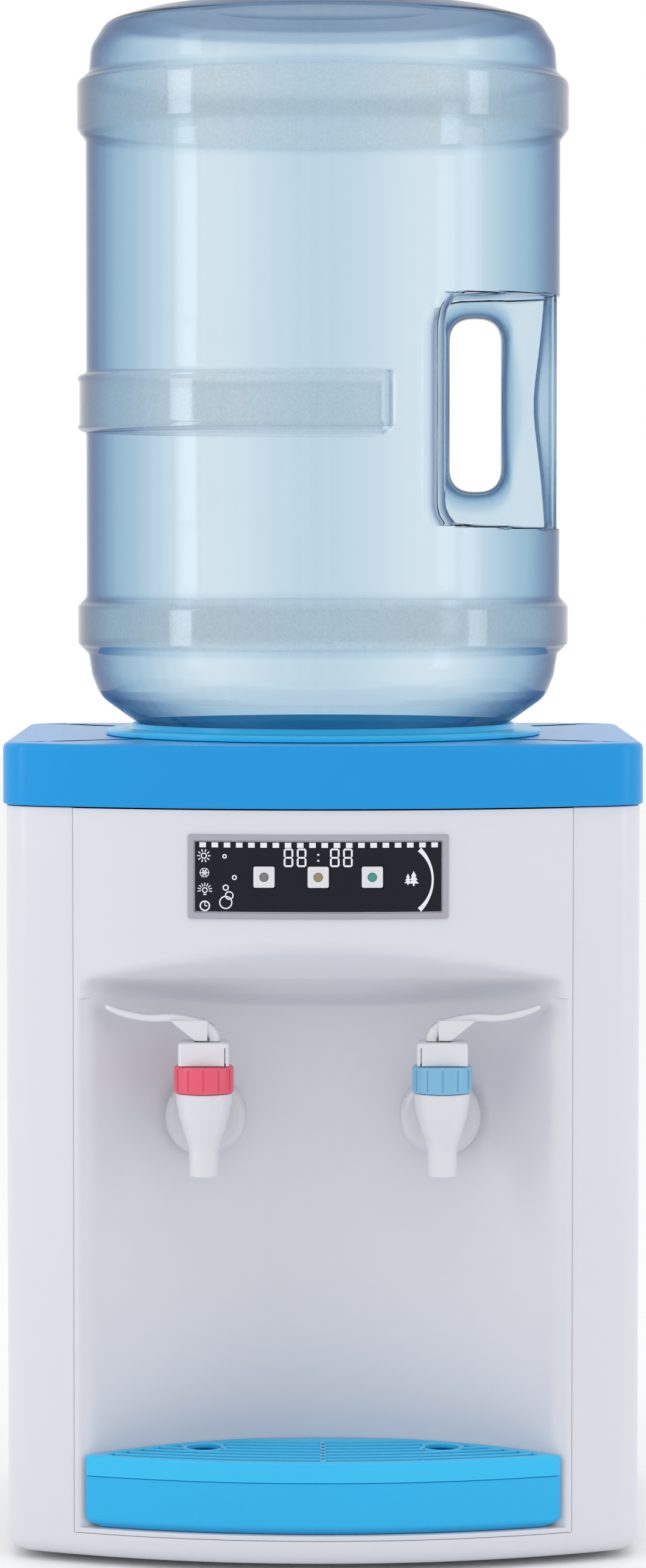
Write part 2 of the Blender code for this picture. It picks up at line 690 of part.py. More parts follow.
def handle_cutters(grow, label):
    """The finger hole and the two scoops beside the hollow handle, grown by grow."""
    x_low, x_high, z_low, z_high = HANDLE_HOLE
    hole = prism(f"handle_hole_{label}", [rounded_rectangle(
        (x_low - grow, z_low - grow), (x_high + grow, z_high + grow), 0.011 + grow, 3)],
        -0.15, 0.15, axis="Y")
    pieces = [hole]
    x_low, x_high, z_low, z_high = HANDLE_RECESS
    for side in (-1, 1):
        near = side * (HANDLE_HALF_DEPTH - grow)
        far = side * 0.15
        scoop = prism(f"handle_scoop_{label}_{side}", [rounded_rectangle(
            (x_low - grow, z_low - grow), (x_high + grow, z_high + grow), 0.016 + grow, 3)],
            min(near, far), max(near, far), axis="Y")
        pieces.append(scoop)
    return pieces


def make_bottle():
    outer = bottle_profile() + [(MOUTH_RADIUS, MOUTH_LOW), (0.0, MOUTH_LOW)]
    bottle = turned("bottle", outer, (0, 0, 0), "bottle_plastic", sides=32)
    inner = bottle_profile(BOTTLE_WALL) + [(MOUTH_RADIUS - BOTTLE_WALL, MOUTH_LOW - 0.01),
                                           (0.0, MOUTH_LOW - 0.01)]
    inside = turned("bottle_inside", inner, (0, 0, 0), sides=32)
    for cutter in handle_cutters(0.0, "outer"):
        boolean(bottle, cutter)
    for cutter in handle_cutters(BOTTLE_WALL, "inner"):
        boolean(inside, cutter)
    boolean(bottle, inside)
    low, high = BAND_SWEEP
    sector = arc((0, 0), BOTTLE_BAND, low, high, 22)
    sector += arc((0, 0), BOTTLE_BODY - BOTTLE_WALL / 2, high, low, 22)
    boolean(bottle, prism("middle_band", [sector], *MIDDLE_BAND), "UNION")
    turned("bottle_cap", [
        (0.0310, 0.3560), (0.0310, 0.3342), (0.0110, 0.3342), (0.0110, 0.3367),
        (0.0278, 0.3367), (0.0278, 0.3560),
    ], (0, 0, 0), "cap_blue", sides=32)


# Inner works


def make_inner_works():
    hot_x, hot_y = HOT_AXIS
    turned("hot_tank", [(0.0, 0.3250), (0.0360, 0.3230), (0.0430, 0.3160), (0.0430, 0.1990),
                        (0.0360, 0.1920), (0.0, 0.1900)], (hot_x, hot_y, 0), "steel", sides=20)
    turned("heater_band", [(0.0450, 0.2450), (0.0450, 0.2150), (0.0433, 0.2150),
                           (0.0433, 0.2450)], (hot_x, hot_y, 0), "aluminium", sides=20)
    rod("thermostat", (hot_x, hot_y, 0.3290), 0.0100, 0.0070, "Z", "black_plastic", 20)

    cold_x, cold_y = COLD_AXIS
    tank = turned("cold_tank", [(0.0, 0.3060), (0.0380, 0.3045), (0.0420, 0.3000),
                                (0.0420, 0.1840), (0.0380, 0.1790), (0.0, 0.1780)],
                  (cold_x, cold_y, 0), "steel", sides=20)
    pad_y = cold_y + 0.0520
    boolean(tank, box("cold_pad", (cold_x - 0.0210, cold_y, FAN_CENTRE[1] - 0.0210),
                      (cold_x + 0.0210, pad_y, FAN_CENTRE[1] + 0.0210)), "UNION")
    foam = turned("cold_tank_insulation", [
        (0.0520, 0.3040), (0.0520, 0.1680), (0.0, 0.1680), (0.0, 0.1770), (0.0423, 0.1770),
        (0.0423, 0.3040)], (cold_x, cold_y, 0), "foam", sides=20)
    boolean(foam, box("foam_window", (cold_x - 0.0213, cold_y, FAN_CENTRE[1] - 0.0213),
                      (cold_x + 0.0213, cold_y + 0.08, FAN_CENTRE[1] + 0.0213)))
    y = pad_y + GAP
    box("cooling_module", (cold_x - 0.020, y, FAN_CENTRE[1] - 0.020),
        (cold_x + 0.020, y + 0.0038, FAN_CENTRE[1] + 0.020), "ceramic")
    make_heat_sink(cold_x, y + 0.0038 + GAP)
    make_fan(cold_x)

    box("power_board", (-0.055, 0.020, 0.030), (0.075, 0.120, 0.0316), "circuit_board")


def make_heat_sink(x, y):
    """A base plate with upright fins, as one comb-shaped outline."""
    half, fins, fin = 0.0380, 9, 0.0016
    pitch = (2 * half - fin) / (fins - 1)
    base, tip = y + 0.0045, y + 0.0250
    outline = [(x - half, y)]
    for index in range(fins):
        left = x - half + index * pitch
        if index > 0:
            outline.append((left, base))
        outline += [(left, tip), (left + fin, tip)]
        if index < fins - 1:
            outline.append((left + fin, base))
    outline.append((x + half, y))
    prism("heat_sink", [outline], FAN_CENTRE[1] - 0.038, FAN_CENTRE[1] + 0.038, "aluminium")


def make_fan(x):
    z = FAN_CENTRE[1]
    outline = rounded_rectangle((x - FAN_HALF, z - FAN_HALF), (x + FAN_HALF, z + FAN_HALF), 0.004, 3)
    frame = prism("fan_frame", [outline], FAN_FRONT, FAN_BACK, "black_plastic", "Y")
    ring = turned("fan_tunnel", [(0.0380, FAN_BACK + 0.01), (0.0380, FAN_FRONT - 0.01),
                                 (0.0152, FAN_FRONT - 0.01), (0.0152, FAN_BACK + 0.01)],
                  (x, 0, z), axis="Y", sides=36)
    for turn in range(3):
        spoke = box(f"fan_spoke_{turn}", (0, -0.0022, FAN_FRONT - 0.02),
                    (0.05, 0.0022, FAN_FRONT + 0.0030))
        spoke.matrix_world = (Matrix.Translation((x, 0, z)) @ AXIS_TURN["Y"]
                              @ Matrix.Rotation(math.radians(120 * turn), 4, "Z"))
        boolean(ring, spoke)
    boolean(frame, ring)
    low, high = FAN_FRONT + 0.0030, FAN_BACK + 0.02
    boolean(frame, rod("hub_pocket", (x, (low + high) / 2, z), 0.0160, high - low, "Y", sides=24))

    hub = Vector((x, (FAN_FRONT + FAN_BACK) / 2 + 0.0022, z))
    rotor = rod("fan_rotor", hub, 0.0145, FAN_BACK - FAN_FRONT - 0.0060, "Y", "black_plastic", 24)
    for index in range(7):
        blade = box(f"fan_blade_{index}", (0.0135, -0.0008, -0.0082), (0.0365, 0.0008, 0.0082))
        blade.matrix_world = (Matrix.Translation(hub) @ AXIS_TURN["Y"]
                              @ Matrix.Rotation(math.radians(360 / 7 * index), 4, "Z")
                              @ Matrix.Rotation(math.radians(38), 4, "X"))
        boolean(rotor, blade, "UNION")


def smooth_route(stops, steps=3):
    """Points on a Catmull-Rom curve through the stops."""
    ends = [stops[0]] + list(stops) + [stops[-1]]
    route = []
    for index in range(len(stops) - 1):
        a, b, c, d = (Vector(point) for point in ends[index:index + 4])
        for step in range(steps):
            t = step / steps
            route.append(0.5 * (2 * b + (c - a) * t + (2 * a - 5 * b + 4 * c - d) * t * t
                                + (3 * b - a - 3 * c + d) * t**3))
    route.append(Vector(stops[-1]))
    return route


def make_tubes():
    shank_end = TAP_Y + 0.0125 + SHANK_LENGTH + GAP
    hot_x, hot_y = HOT_AXIS
    cold_x, cold_y = COLD_AXIS
    tube("hot_tube", smooth_route([
        (-TAP_X, shank_end, SHANK_Z), (-TAP_X, shank_end + 0.0015, SHANK_Z),
        (-TAP_X, shank_end + 0.0030, SHANK_Z), (-TAP_X, shank_end + 0.012, 0.2240),
        (-0.0650, -0.0200, 0.1950), (-0.0680, 0.0050, 0.1680), (hot_x, 0.0350, 0.1620),
        (hot_x, hot_y, 0.1730), (hot_x, hot_y, 0.1800), (hot_x, hot_y, 0.1897)]),
        0.0045, "silicone")
    tube("cold_tube", smooth_route([
        (TAP_X, shank_end, SHANK_Z), (TAP_X, shank_end + 0.0015, SHANK_Z),
        (TAP_X, shank_end + 0.0030, SHANK_Z), (TAP_X, shank_end + 0.0105, 0.2250),
        (TAP_X, -0.0285, 0.2000), (TAP_X, -0.0270, 0.1700), (0.0615, -0.0150, 0.1530),
        (cold_x, 0.0100, 0.1480), (cold_x, cold_y - 0.002, 0.1540), (cold_x, cold_y, 0.1620),
        (cold_x, cold_y, 0.1677)]), 0.0035, "silicone")
    tube("feed_tube", smooth_route([
        (0, 0, 0.2997), (0, 0, 0.2970), (0, 0, 0.2940), (-0.002, 0.0080, 0.2750),
        (-0.006, 0.0300, 0.2400), (-0.006, 0.0600, 0.1800), (-0.004, 0.0750, 0.1100),
        (0, 0.0850, 0.0600),
        (0, 0.1100, 0.0450), (0, 0.1180, 0.0450), (0, 0.1252, 0.0450)]), 0.0055, "silicone")


# Rear fittings, feet and screws


def make_rear_fittings():
    for x, name, colour in zip(SWITCH_X, ("hot_switch", "cold_switch"),
                               ("switch_red", "switch_green")):
        outline = [(-0.0060, 0.0088), (0.0042, 0.0088), (0.0022, 0.0), (0.0042, -0.0088),
                   (-0.0060, -0.0088), (-0.0100, -0.0040), (-0.0100, 0.0040)]
        tilt = math.radians(-SWITCH_TILT)
        turned_outline = [
            (SWITCH_Y + y * math.cos(tilt) - z * math.sin(tilt),
             SWITCH_Z + y * math.sin(tilt) + z * math.cos(tilt)) for y, z in outline]
        prism(name, [turned_outline], x - 0.0060, x + 0.0060, colour, "X")

    inlet = prism("power_inlet", [rounded_rectangle(
        (INLET_X - 0.0165, INLET_Z - 0.0130), (INLET_X + 0.0165, INLET_Z + 0.0130), 0.002, 3)],
        rear + GAP, rear + 0.0021, "black_plastic", "Y")
    boolean(inlet, prism("inlet_body", [rounded_rectangle(
        (INLET_X - 0.0135, INLET_Z - 0.0100), (INLET_X + 0.0135, INLET_Z + 0.0100), 0.002, 3)],
        rear - 0.022, rear + 0.0010, axis="Y"), "UNION")
    boolean(inlet, prism("inlet_socket", [[
        (INLET_X - 0.0115, INLET_Z - 0.0075), (INLET_X + 0.0115, INLET_Z - 0.0075),
        (INLET_X + 0.0115, INLET_Z + 0.0030), (INLET_X + 0.0070, INLET_Z + 0.0078),
        (INLET_X - 0.0070, INLET_Z + 0.0078), (INLET_X - 0.0115, INLET_Z + 0.0030)]],
        rear - 0.018, rear + 0.01, axis="Y"))

    plug = turned("drain_plug", [
        (0.0, 0.0021), (0.0112, 0.0021), (0.0120, 0.0014), (0.0120, GAP), (0.0060, GAP),
        (0.0060, -0.0245), (0.0, -0.0245)], (0, 0, 0), "white_plastic", sides=20)
    slot = box("coin_slot", (-0.0095, -0.0011, 0.0009), (0.0095, 0.0011, 0.0050))
    for item in (plug, slot):
        item.matrix_world = Matrix.Translation((DRAIN[0], rear, DRAIN[1])) @ AXIS_TURN["Y"]
    boolean(plug, slot)

    for number, (x, z) in enumerate(screw_places(), 1):
        turned(f"cover_screw_{number}", [
            (0.0, 0.0021), (0.0022, 0.0020), (0.0038, 0.0010), (0.0040, GAP), (0.0015, GAP),
            (0.0015, -0.0100), (0.0, -0.0110)], (x, rear, z), "steel", "Y", 12)


def make_feet():
    for row, y in (("front", FOOT_FRONT), ("rear", FOOT_REAR)):
        for side, x in (("left", -FOOT_X), ("right", FOOT_X)):
            rod(f"foot_{row}_{side}", (x, y, FOOT_HEIGHT / 2), 0.0085, FOOT_HEIGHT, "Z", "rubber",
                16, 0.0095)


make_casing()
make_front_panel()
make_rear_cover()
make_top_cover()
make_collar()
make_spike()
make_display()
make_tap("hot", -1, "nut_red")
make_tap("cold", 1, "nut_blue")
make_tray()
make_bottle()
make_inner_works()
make_tubes()
make_rear_fittings()
make_feet()
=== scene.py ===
import json
import math

import bmesh
import bpy
from mathutils import Matrix, Vector


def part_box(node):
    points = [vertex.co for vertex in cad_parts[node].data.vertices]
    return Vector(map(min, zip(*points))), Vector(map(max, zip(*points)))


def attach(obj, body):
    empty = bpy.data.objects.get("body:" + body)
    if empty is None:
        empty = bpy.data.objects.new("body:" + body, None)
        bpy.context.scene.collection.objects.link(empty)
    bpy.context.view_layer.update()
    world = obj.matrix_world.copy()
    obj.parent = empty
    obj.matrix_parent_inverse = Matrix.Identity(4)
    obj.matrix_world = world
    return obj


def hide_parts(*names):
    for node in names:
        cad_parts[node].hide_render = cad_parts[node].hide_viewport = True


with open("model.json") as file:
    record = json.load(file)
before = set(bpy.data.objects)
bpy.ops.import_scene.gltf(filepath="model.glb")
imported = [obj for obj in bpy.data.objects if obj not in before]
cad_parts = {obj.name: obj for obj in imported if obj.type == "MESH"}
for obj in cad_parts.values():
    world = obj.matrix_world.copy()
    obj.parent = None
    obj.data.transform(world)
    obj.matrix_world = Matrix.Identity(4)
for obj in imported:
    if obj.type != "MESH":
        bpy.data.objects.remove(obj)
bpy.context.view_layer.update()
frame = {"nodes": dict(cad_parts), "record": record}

print("frame loaded,", len(frame["nodes"]), "nodes")

shaderOut = "Principled BSDF"


# Sockets, nodes and maths written as plain expressions
class Wire:
    def __init__(self, socket):
        self.socket = socket
        self.tree = socket.id_data

    def maths(self, operation, *values):
        return addNode(self.tree, "ShaderNodeMath", {"operation": operation}, dict(enumerate(values)))

    def __add__(self, other):
        return self.maths("ADD", self, other)

    def __radd__(self, other):
        return self.maths("ADD", other, self)

    def __sub__(self, other):
        return self.maths("SUBTRACT", self, other)

    def __rsub__(self, other):
        return self.maths("SUBTRACT", other, self)

    def __mul__(self, other):
        return self.maths("MULTIPLY", self, other)

    def __rmul__(self, other):
        return self.maths("MULTIPLY", other, self)

    def __truediv__(self, other):
        return self.maths("DIVIDE", self, other)


def connect(tree, socket, value):
    if isinstance(value, Wire):
        tree.links.new(value.socket, socket)
    elif value is not None:
        socket.default_value = value


def addNode(tree, kind, settings=None, inputs=None, output=0):
    node = tree.nodes.new(kind)
    for name, value in (settings or {}).items():
        if name == "stops":
            ramp = node.color_ramp.elements
            while len(ramp) < len(value):
                ramp.new(0.5)
            for element, (place, colour) in zip(ramp, value):
                element.position = place
                element.color = (*colour, 1)
        else:
            setattr(node, name, value)
    for name, value in (inputs or {}).items():
        connect(tree, node.inputs[name], value)
    return Wire(node.outputs[output])


def newFinish(name):
    material = bpy.data.materials.new(name)
    material.use_nodes = True
    return material, material.node_tree, material.node_tree.nodes[shaderOut]


def objectPlace(tree, stretch=(1, 1, 1)):
    place = addNode(tree, "ShaderNodeTexCoord", output=3)
    return addNode(tree, "ShaderNodeMapping", inputs={0: place, 3: stretch})


def noise(tree, place, scale, detail=3, rough=0.5):
    return addNode(tree, "ShaderNodeTexNoise", inputs={
        "Vector": place, "Scale": scale, "Detail": detail, "Roughness": rough})


def mixColour(tree, share, first, second, blend="MIX"):
    node = tree.nodes.new("ShaderNodeMix")
    node.data_type = "RGBA"
    node.blend_type = blend
    connect(tree, node.inputs[0], share)
    for socket, colour in ((node.inputs[6], first), (node.inputs[7], second)):
        connect(tree, socket, colour if isinstance(colour, Wire) else (*colour, 1))
    return Wire(node.outputs[2])


# Moulded plastic: a shade that drifts a little, fine mould grain, faint rubbed marks
def plastic(name, colour, rough=0.3, drift=0.05, grain=900, depth=0.03, rub=0.08, coat=0.0, shine=0.5):
    material, tree, shader = newFinish(name)
    place = objectPlace(tree)
    broad = noise(tree, place, 9, 2)
    fine = noise(tree, place, grain, 2)
    marks = noise(tree, objectPlace(tree, (1, 1, 0.12)), 120, 4, 0.7)
    dark = [channel * (1 - drift) for channel in colour]
    light = [min(channel * (1 + drift), 1) for channel in colour]
    connect(tree, shader.inputs["Base Color"], mixColour(tree, broad, dark, light))
    connect(tree, shader.inputs["Roughness"], (marks - 0.5) * rub + (fine - 0.5) * 0.06 + rough)
    bump = addNode(tree, "ShaderNodeBump", inputs={
        "Strength": depth, "Distance": 0.0004, "Height": fine * 0.7 + broad * 0.3})
    connect(tree, shader.inputs["Normal"], bump)
    shader.inputs["Coat Weight"].default_value = coat
    shader.inputs["Coat Roughness"].default_value = 0.08
    shader.inputs["Specular IOR Level"].default_value = shine
    return material


# Metal with a drawn grain along one direction
def metal(name, colour, rough, stretch=(1, 1, 14)):
    material, tree, shader = newFinish(name)
    drawn = noise(tree, objectPlace(tree, stretch), 420, 3, 0.6)
    cloud = noise(tree, objectPlace(tree), 35, 3)
    dark = [channel * 0.78 for channel in colour]
    connect(tree, shader.inputs["Base Color"], mixColour(tree, cloud, dark, colour))
    connect(tree, shader.inputs["Roughness"], (drawn - 0.5) * 0.22 + rough)
    bump = addNode(tree, "ShaderNodeBump", inputs={
        "Strength": 0.12, "Distance": 0.0003, "Height": drawn})
    connect(tree, shader.inputs["Normal"], bump)
    shader.inputs["Metallic"].default_value = 1
    return material


# Foam or rubber: open cells or a dusty matt skin; the colour darkens into each cell's pit as painted shade,
# with random dusty tone
def cellular(name, colour, cells, depth, rough):
    material, tree, shader = newFinish(name)
    place = objectPlace(tree)
    cell = addNode(tree, "ShaderNodeTexVoronoi", inputs={"Vector": place, "Scale": cells})
    dust = noise(tree, place, 60, 4, 0.6)
    dark = [channel * 0.7 for channel in colour]
    # painted shade: darker where the cell bump sinks into a pit, mixed with random dusty tone
    connect(tree, shader.inputs["Base Color"], mixColour(tree, dust * 0.6 + cell * 0.4, dark, colour))
    connect(tree, shader.inputs["Roughness"], (dust - 0.5) * 0.1 + rough)
    bump = addNode(tree, "ShaderNodeBump", inputs={
        "Strength": depth, "Distance": 0.0005, "Height": cell})
    connect(tree, shader.inputs["Normal"], bump)
    return material


# Circuit board: green mask with copper tracks and pads
def boardFinish(name):
    material, tree, shader = newFinish(name)
    place = objectPlace(tree)
    tracks = addNode(tree, "ShaderNodeTexBrick", {"offset": 0.35}, {
        "Vector": place, "Scale": 260, "Mortar Size": 0.06, "Color1": (0, 0, 0, 1),
        "Color2": (0, 0, 0, 1), "Mortar": (1, 1, 1, 1)})
    pads = addNode(tree, "ShaderNodeTexVoronoi", inputs={"Vector": place, "Scale": 330})
    spots = addNode(tree, "ShaderNodeMath", {"operation": "LESS_THAN"}, {0: pads, 1: 0.16})
    green = mixColour(tree, tracks, (0.012, 0.11, 0.045), (0.03, 0.24, 0.09))
    connect(tree, shader.inputs["Base Color"], mixColour(tree, spots, green, (0.62, 0.5, 0.25)))
    connect(tree, shader.inputs["Metallic"], spots)
    connect(tree, shader.inputs["Roughness"], 0.42 - spots * 0.14)
    return material


# Tinted clear bottle: the wall takes its colour from the depth of plastic that light crosses,
# with painted shade darkening it where it is seen edge on, and is frosted where it stands out past the body
def clearFinish(name):
    material, tree, shader = newFinish(name)
    place = objectPlace(tree)
    flat = objectPlace(tree, (1, 1, 0))
    radius = addNode(tree, "ShaderNodeVectorMath", {"operation": "LENGTH"}, {0: flat}, 1)
    frost = addNode(tree, "ShaderNodeMapRange", {"interpolation_type": "SMOOTHSTEP"}, {
        "Value": radius, "From Min": bottle["body"] + 0.0016, "From Max": bottle["band"] - 0.0009})
    flow = noise(tree, objectPlace(tree, (1, 1, 0.2)), 16, 3)
    grain = noise(tree, place, 620, 3, 0.7)
    glitter = addNode(tree, "ShaderNodeMapRange", inputs={
        "Value": grain, "From Min": 0.35, "From Max": 0.65, "To Min": 0.72, "To Max": 1.0})
    dull = mixColour(tree, glitter, (0.30, 0.33, 0.36), bottle["frostColour"])
    clear = mixColour(tree, flow, (0.97, 0.98, 0.99), (1, 1, 1))
    # painted edge shade: the base colour is darkened by viewing angle where a wall is seen edge on, where
    # it is also crossed the long way
    facing = addNode(tree, "ShaderNodeLayerWeight", inputs={"Blend": 0.5}, output=1)
    edge = addNode(tree, "ShaderNodeValToRGB", {"stops": bottle["paintedEdgeShade"]}, {0: facing})
    wall = mixColour(tree, frost, clear, dull)
    # the multiply lays the painted edge shade over the wall's own tint
    connect(tree, shader.inputs["Base Color"], mixColour(tree, 1.0, wall, edge, "MULTIPLY"))
    connect(tree, shader.inputs["Roughness"], frost * bottle["frostRough"] + (flow - 0.5) * 0.02 + 0.03)
    bump = addNode(tree, "ShaderNodeBump", inputs={
        "Strength": 0.10, "Distance": 0.0006, "Height": flow + frost * grain * 1.5})
    connect(tree, shader.inputs["Normal"], bump)
    shader.inputs["Transmission Weight"].default_value = 1
    shader.inputs["IOR"].default_value = bottle["refraction"]
    connect(tree, shader.inputs["Coat Weight"], frost * (1 - bottle["gloss"]) + bottle["gloss"])
    shader.inputs["Coat Roughness"].default_value = 0.06
    volume = tree.nodes.new("ShaderNodeVolumeAbsorption")
    density = bottle["absorption"]
    volume.inputs["Density"].default_value = density
    volume.inputs["Color"].default_value = (*[1 - loss / density for loss in bottle["tintLoss"]], 1)
    tree.links.new(volume.outputs[0], tree.nodes["Material Output"].inputs["Volume"])
    return material


# Meshes
def skin(rings, around=True, joined=False, capped=False):
    count = len(rings[0])
    points = [tuple(point) for ring in rings for point in ring]
    faces = []
    for row in range(len(rings) if joined else len(rings) - 1):
        upper = (row + 1) % len(rings) * count
        for step in range(count if around else count - 1):
            after = (step + 1) % count
            faces.append((row * count + step, row * count + after, upper + after, upper + step))
    if capped:
        faces.append(tuple(range(count)))
        faces.append(tuple(range(len(points) - count, len(points))))
    return points, faces


def turnedSkin(profile, sides=96, joined=True):
    rings = []
    for radius, height in profile:
        rings.append([(radius * math.cos(math.tau * step / sides),
                       radius * math.sin(math.tau * step / sides), height) for step in range(sides)])
    return skin(rings, joined=joined)


def makeObject(name, shape, turn=None, weld=1e-6):
    points, faces = shape
    bm = bmesh.new()
    corners = [bm.verts.new(point) for point in points]
    for face in faces:
        bm.faces.new([corners[index] for index in face])
    bmesh.ops.remove_doubles(bm, verts=bm.verts, dist=weld)
    bmesh.ops.dissolve_degenerate(bm, edges=bm.edges, dist=weld)
    if turn:
        bm.transform(turn)
    bmesh.ops.recalc_face_normals(bm, faces=bm.faces)
    mesh = bpy.data.meshes.new(name)
    bm.to_mesh(mesh)
    bm.free()
    item = bpy.data.objects.new(name, mesh)
    bpy.context.scene.collection.objects.link(item)
    return item


def bakeModifiers(item):
    bpy.context.view_layer.update()
    evaluated = item.evaluated_get(bpy.context.evaluated_depsgraph_get())
    mesh = bpy.data.meshes.new_from_object(evaluated)
    item.modifiers.clear()
    item.data = mesh
    return item


def thicken(item, thickness, offset=-1.0):
    wall = item.modifiers.new("wall", "SOLIDIFY")
    wall.thickness = thickness
    wall.offset = offset
    wall.use_even_offset = True


def softenEdges(item, width, angle=50, segments=3):
    bevel = item.modifiers.new("soft", "BEVEL")
    bevel.width = width
    bevel.segments = segments
    bevel.limit_method = "ANGLE"
    bevel.angle_limit = math.radians(angle)
    bevel.use_clamp_overlap = True


def combine(item, other, operation):
    step = item.modifiers.new(operation, "BOOLEAN")
    step.operation = operation
    step.solver = "EXACT"
    step.object = other
    bakeModifiers(item)
    bpy.data.objects.remove(other, do_unlink=True)
    return item


def joinShapes(*shapes):
    points, faces = [], []
    for shapePoints, shapeFaces in shapes:
        start = len(points)
        points += shapePoints
        faces += [tuple(index + start for index in face) for face in shapeFaces]
    return points, faces


def moved(shape, matrix):
    return [tuple(matrix @ Vector(point)) for point in shape[0]], shape[1]


# Gives a piece its finish and its place in the frame
def settle(item, finish, body, slot, *nodes, crease=35):
    if finish:
        item.data.materials.clear()
        item.data.materials.append(finish)
    item.data.shade_smooth()
    item.data.set_sharp_from_angle(angle=math.radians(crease))
    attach(item, body)
    if nodes:
        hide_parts(*nodes)
    return item


# Geometry Nodes trees with named inputs
def startTree(name, sizes):
    tree = bpy.data.node_groups.new(name, "GeometryNodeTree")
    tree.interface.new_socket("Geometry", in_out="INPUT", socket_type="NodeSocketGeometry")
    tree.interface.new_socket("Geometry", in_out="OUTPUT", socket_type="NodeSocketGeometry")
    for label, value in sizes.items():
        kind = "NodeSocketInt" if isinstance(value, int) else "NodeSocketFloat"
        tree.interface.new_socket(label, in_out="INPUT", socket_type=kind)
    entry = tree.nodes.new("NodeGroupInput")
    return tree, {socket.name: Wire(socket) for socket in entry.outputs if socket.name}


def endTree(tree, geometry, finish):
    real = addNode(tree, "GeometryNodeRealizeInstances", inputs={0: geometry})
    painted = addNode(tree, "GeometryNodeSetMaterial", inputs={"Geometry": real, "Material": finish})
    leave = tree.nodes.new("NodeGroupOutput")
    tree.links.new(painted.socket, leave.inputs[0])


def runTree(item, tree, sizes):
    step = item.modifiers.new(tree.name, "NODES")
    step.node_group = tree
    for socket in tree.interface.items_tree:
        if socket.in_out == "INPUT" and socket.name in sizes:
            step[socket.identifier] = sizes[socket.name]
    return bakeModifiers(item)


# Lines and curves
def roundedLine(corners, steps=5, loop=False):
    line = []
    count = len(corners)
    for index, corner in enumerate(corners):
        here = Vector(corner[:2])
        radius = corner[2] if len(corner) > 2 else 0
        if not radius or (not loop and index in (0, count - 1)):
            line.append(here)
            continue
        before = Vector(corners[index - 1][:2]) - here
        after = Vector(corners[(index + 1) % count][:2]) - here
        reach = radius / math.tan(before.angle(after) / 2)
        reach = min(reach, before.length * 0.49, after.length * 0.49)
        start = here + before.normalized() * reach
        end = here + after.normalized() * reach
        for step in range(steps + 1):
            share = step / steps
            line.append(start.lerp(here, share).lerp(here.lerp(end, share), share))
    return line


def roundedBox(low, high, radius, steps=5):
    return roundedLine([(high[0], high[1], radius), (low[0], high[1], radius),
                        (low[0], low[1], radius), (high[0], low[1], radius)], steps, True)


def smoothMax(first, second, blend):
    near = max(blend - abs(first - second), 0) / blend
    return max(first, second) + near * near * blend / 4


def smoothMin(first, second, blend):
    return -smoothMax(-first, -second, blend)


def smoothStep(value, low, high):
    share = min(max((value - low) / (high - low), 0), 1)
    return share * share * (3 - 2 * share)


def stops(*spans):
    found = set()
    for start, end, step in spans:
        count = max(round((end - start) / step), 1)
        for index in range(count + 1):
            found.add(round(start + (end - start) * index / count, 6))
    return sorted(found)


def throughPoints(table, value):
    # straight lines through (value, result) pairs
    for (low, first), (high, second) in zip(table, table[1:]):
        if value <= high:
            return first + (second - first) * max((value - low) / (high - low), 0)
    return table[-1][1]


# The cabinet's plan, shared by its shell, cover, panel and tray
cabinet = {
    "bow": 0.042,  # bulge of the front
    "corner": 0.022,
    "wall": 0.0025,
    "bottomRound": 0.008,
    "edge": 0.0007,
    "colour": (0.675, 0.678, 0.728),
}
caseLow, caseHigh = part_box("casing")
panelLow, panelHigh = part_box("front_panel")
rearLow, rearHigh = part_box("rear_cover")
coverLow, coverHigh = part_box("top_cover")
halfWidth = caseHigh.x
frontY = caseLow.y
rearY = rearHigh.y
bowRadius = (halfWidth**2 + cabinet["bow"] ** 2) / (2 * cabinet["bow"])
bowCentre = frontY + bowRadius


def bowY(x, inset=0.0):
    return bowCentre - math.sqrt((bowRadius - inset) ** 2 - x * x)


def cabinetPlan(frontXs, rearXs):
    corner = cabinet["corner"]
    cornerX = halfWidth - corner
    cornerY = bowCentre - math.sqrt((bowRadius - corner) ** 2 - cornerX**2)
    join = math.atan2(cornerY - bowCentre, cornerX)
    reach = bowRadius * math.cos(join) - 0.001
    front = [(x, bowY(x)) for x in frontXs if abs(x) < reach]
    side = []
    for step in range(13):
        angle = join * (1 - step / 12)
        side.append((cornerX + corner * math.cos(angle), cornerY + corner * math.sin(angle)))
    for step in range(1, 6):
        side.append((halfWidth, cornerY + (rearY - corner - cornerY) * step / 6))
    for step in range(11):
        angle = math.pi / 2 * step / 10
        side.append((cornerX + corner * math.cos(angle), rearY - corner + corner * math.sin(angle)))
    back = [(x, rearY) for x in reversed(rearXs) if abs(x) < cornerX - 0.001]
    return front + side + back + [(-x, y) for x, y in reversed(side)]


def insetPlan(plan, inset):
    moved = []
    for index, (x, y) in enumerate(plan):
        before = Vector(plan[index - 1])
        after = Vector(plan[(index + 1) % len(plan)])
        run = (after - before).normalized()
        moved.append((x - run.y * inset, y + run.x * inset))
    return moved


def nicheBack(x, half, back):
    start = bowY(half)
    depth = back - start
    radius = (half * half + depth * depth) / (2 * depth)
    if abs(x) >= half:
        return start - (abs(x) - half) * 2.2
    return back - radius + math.sqrt(radius * radius - x * x)


print("plan ready")

whitePlastic = plastic("satinWhitePlastic", cabinet["colour"], 0.30, 0.012, 1100, 0.035, 0.05)


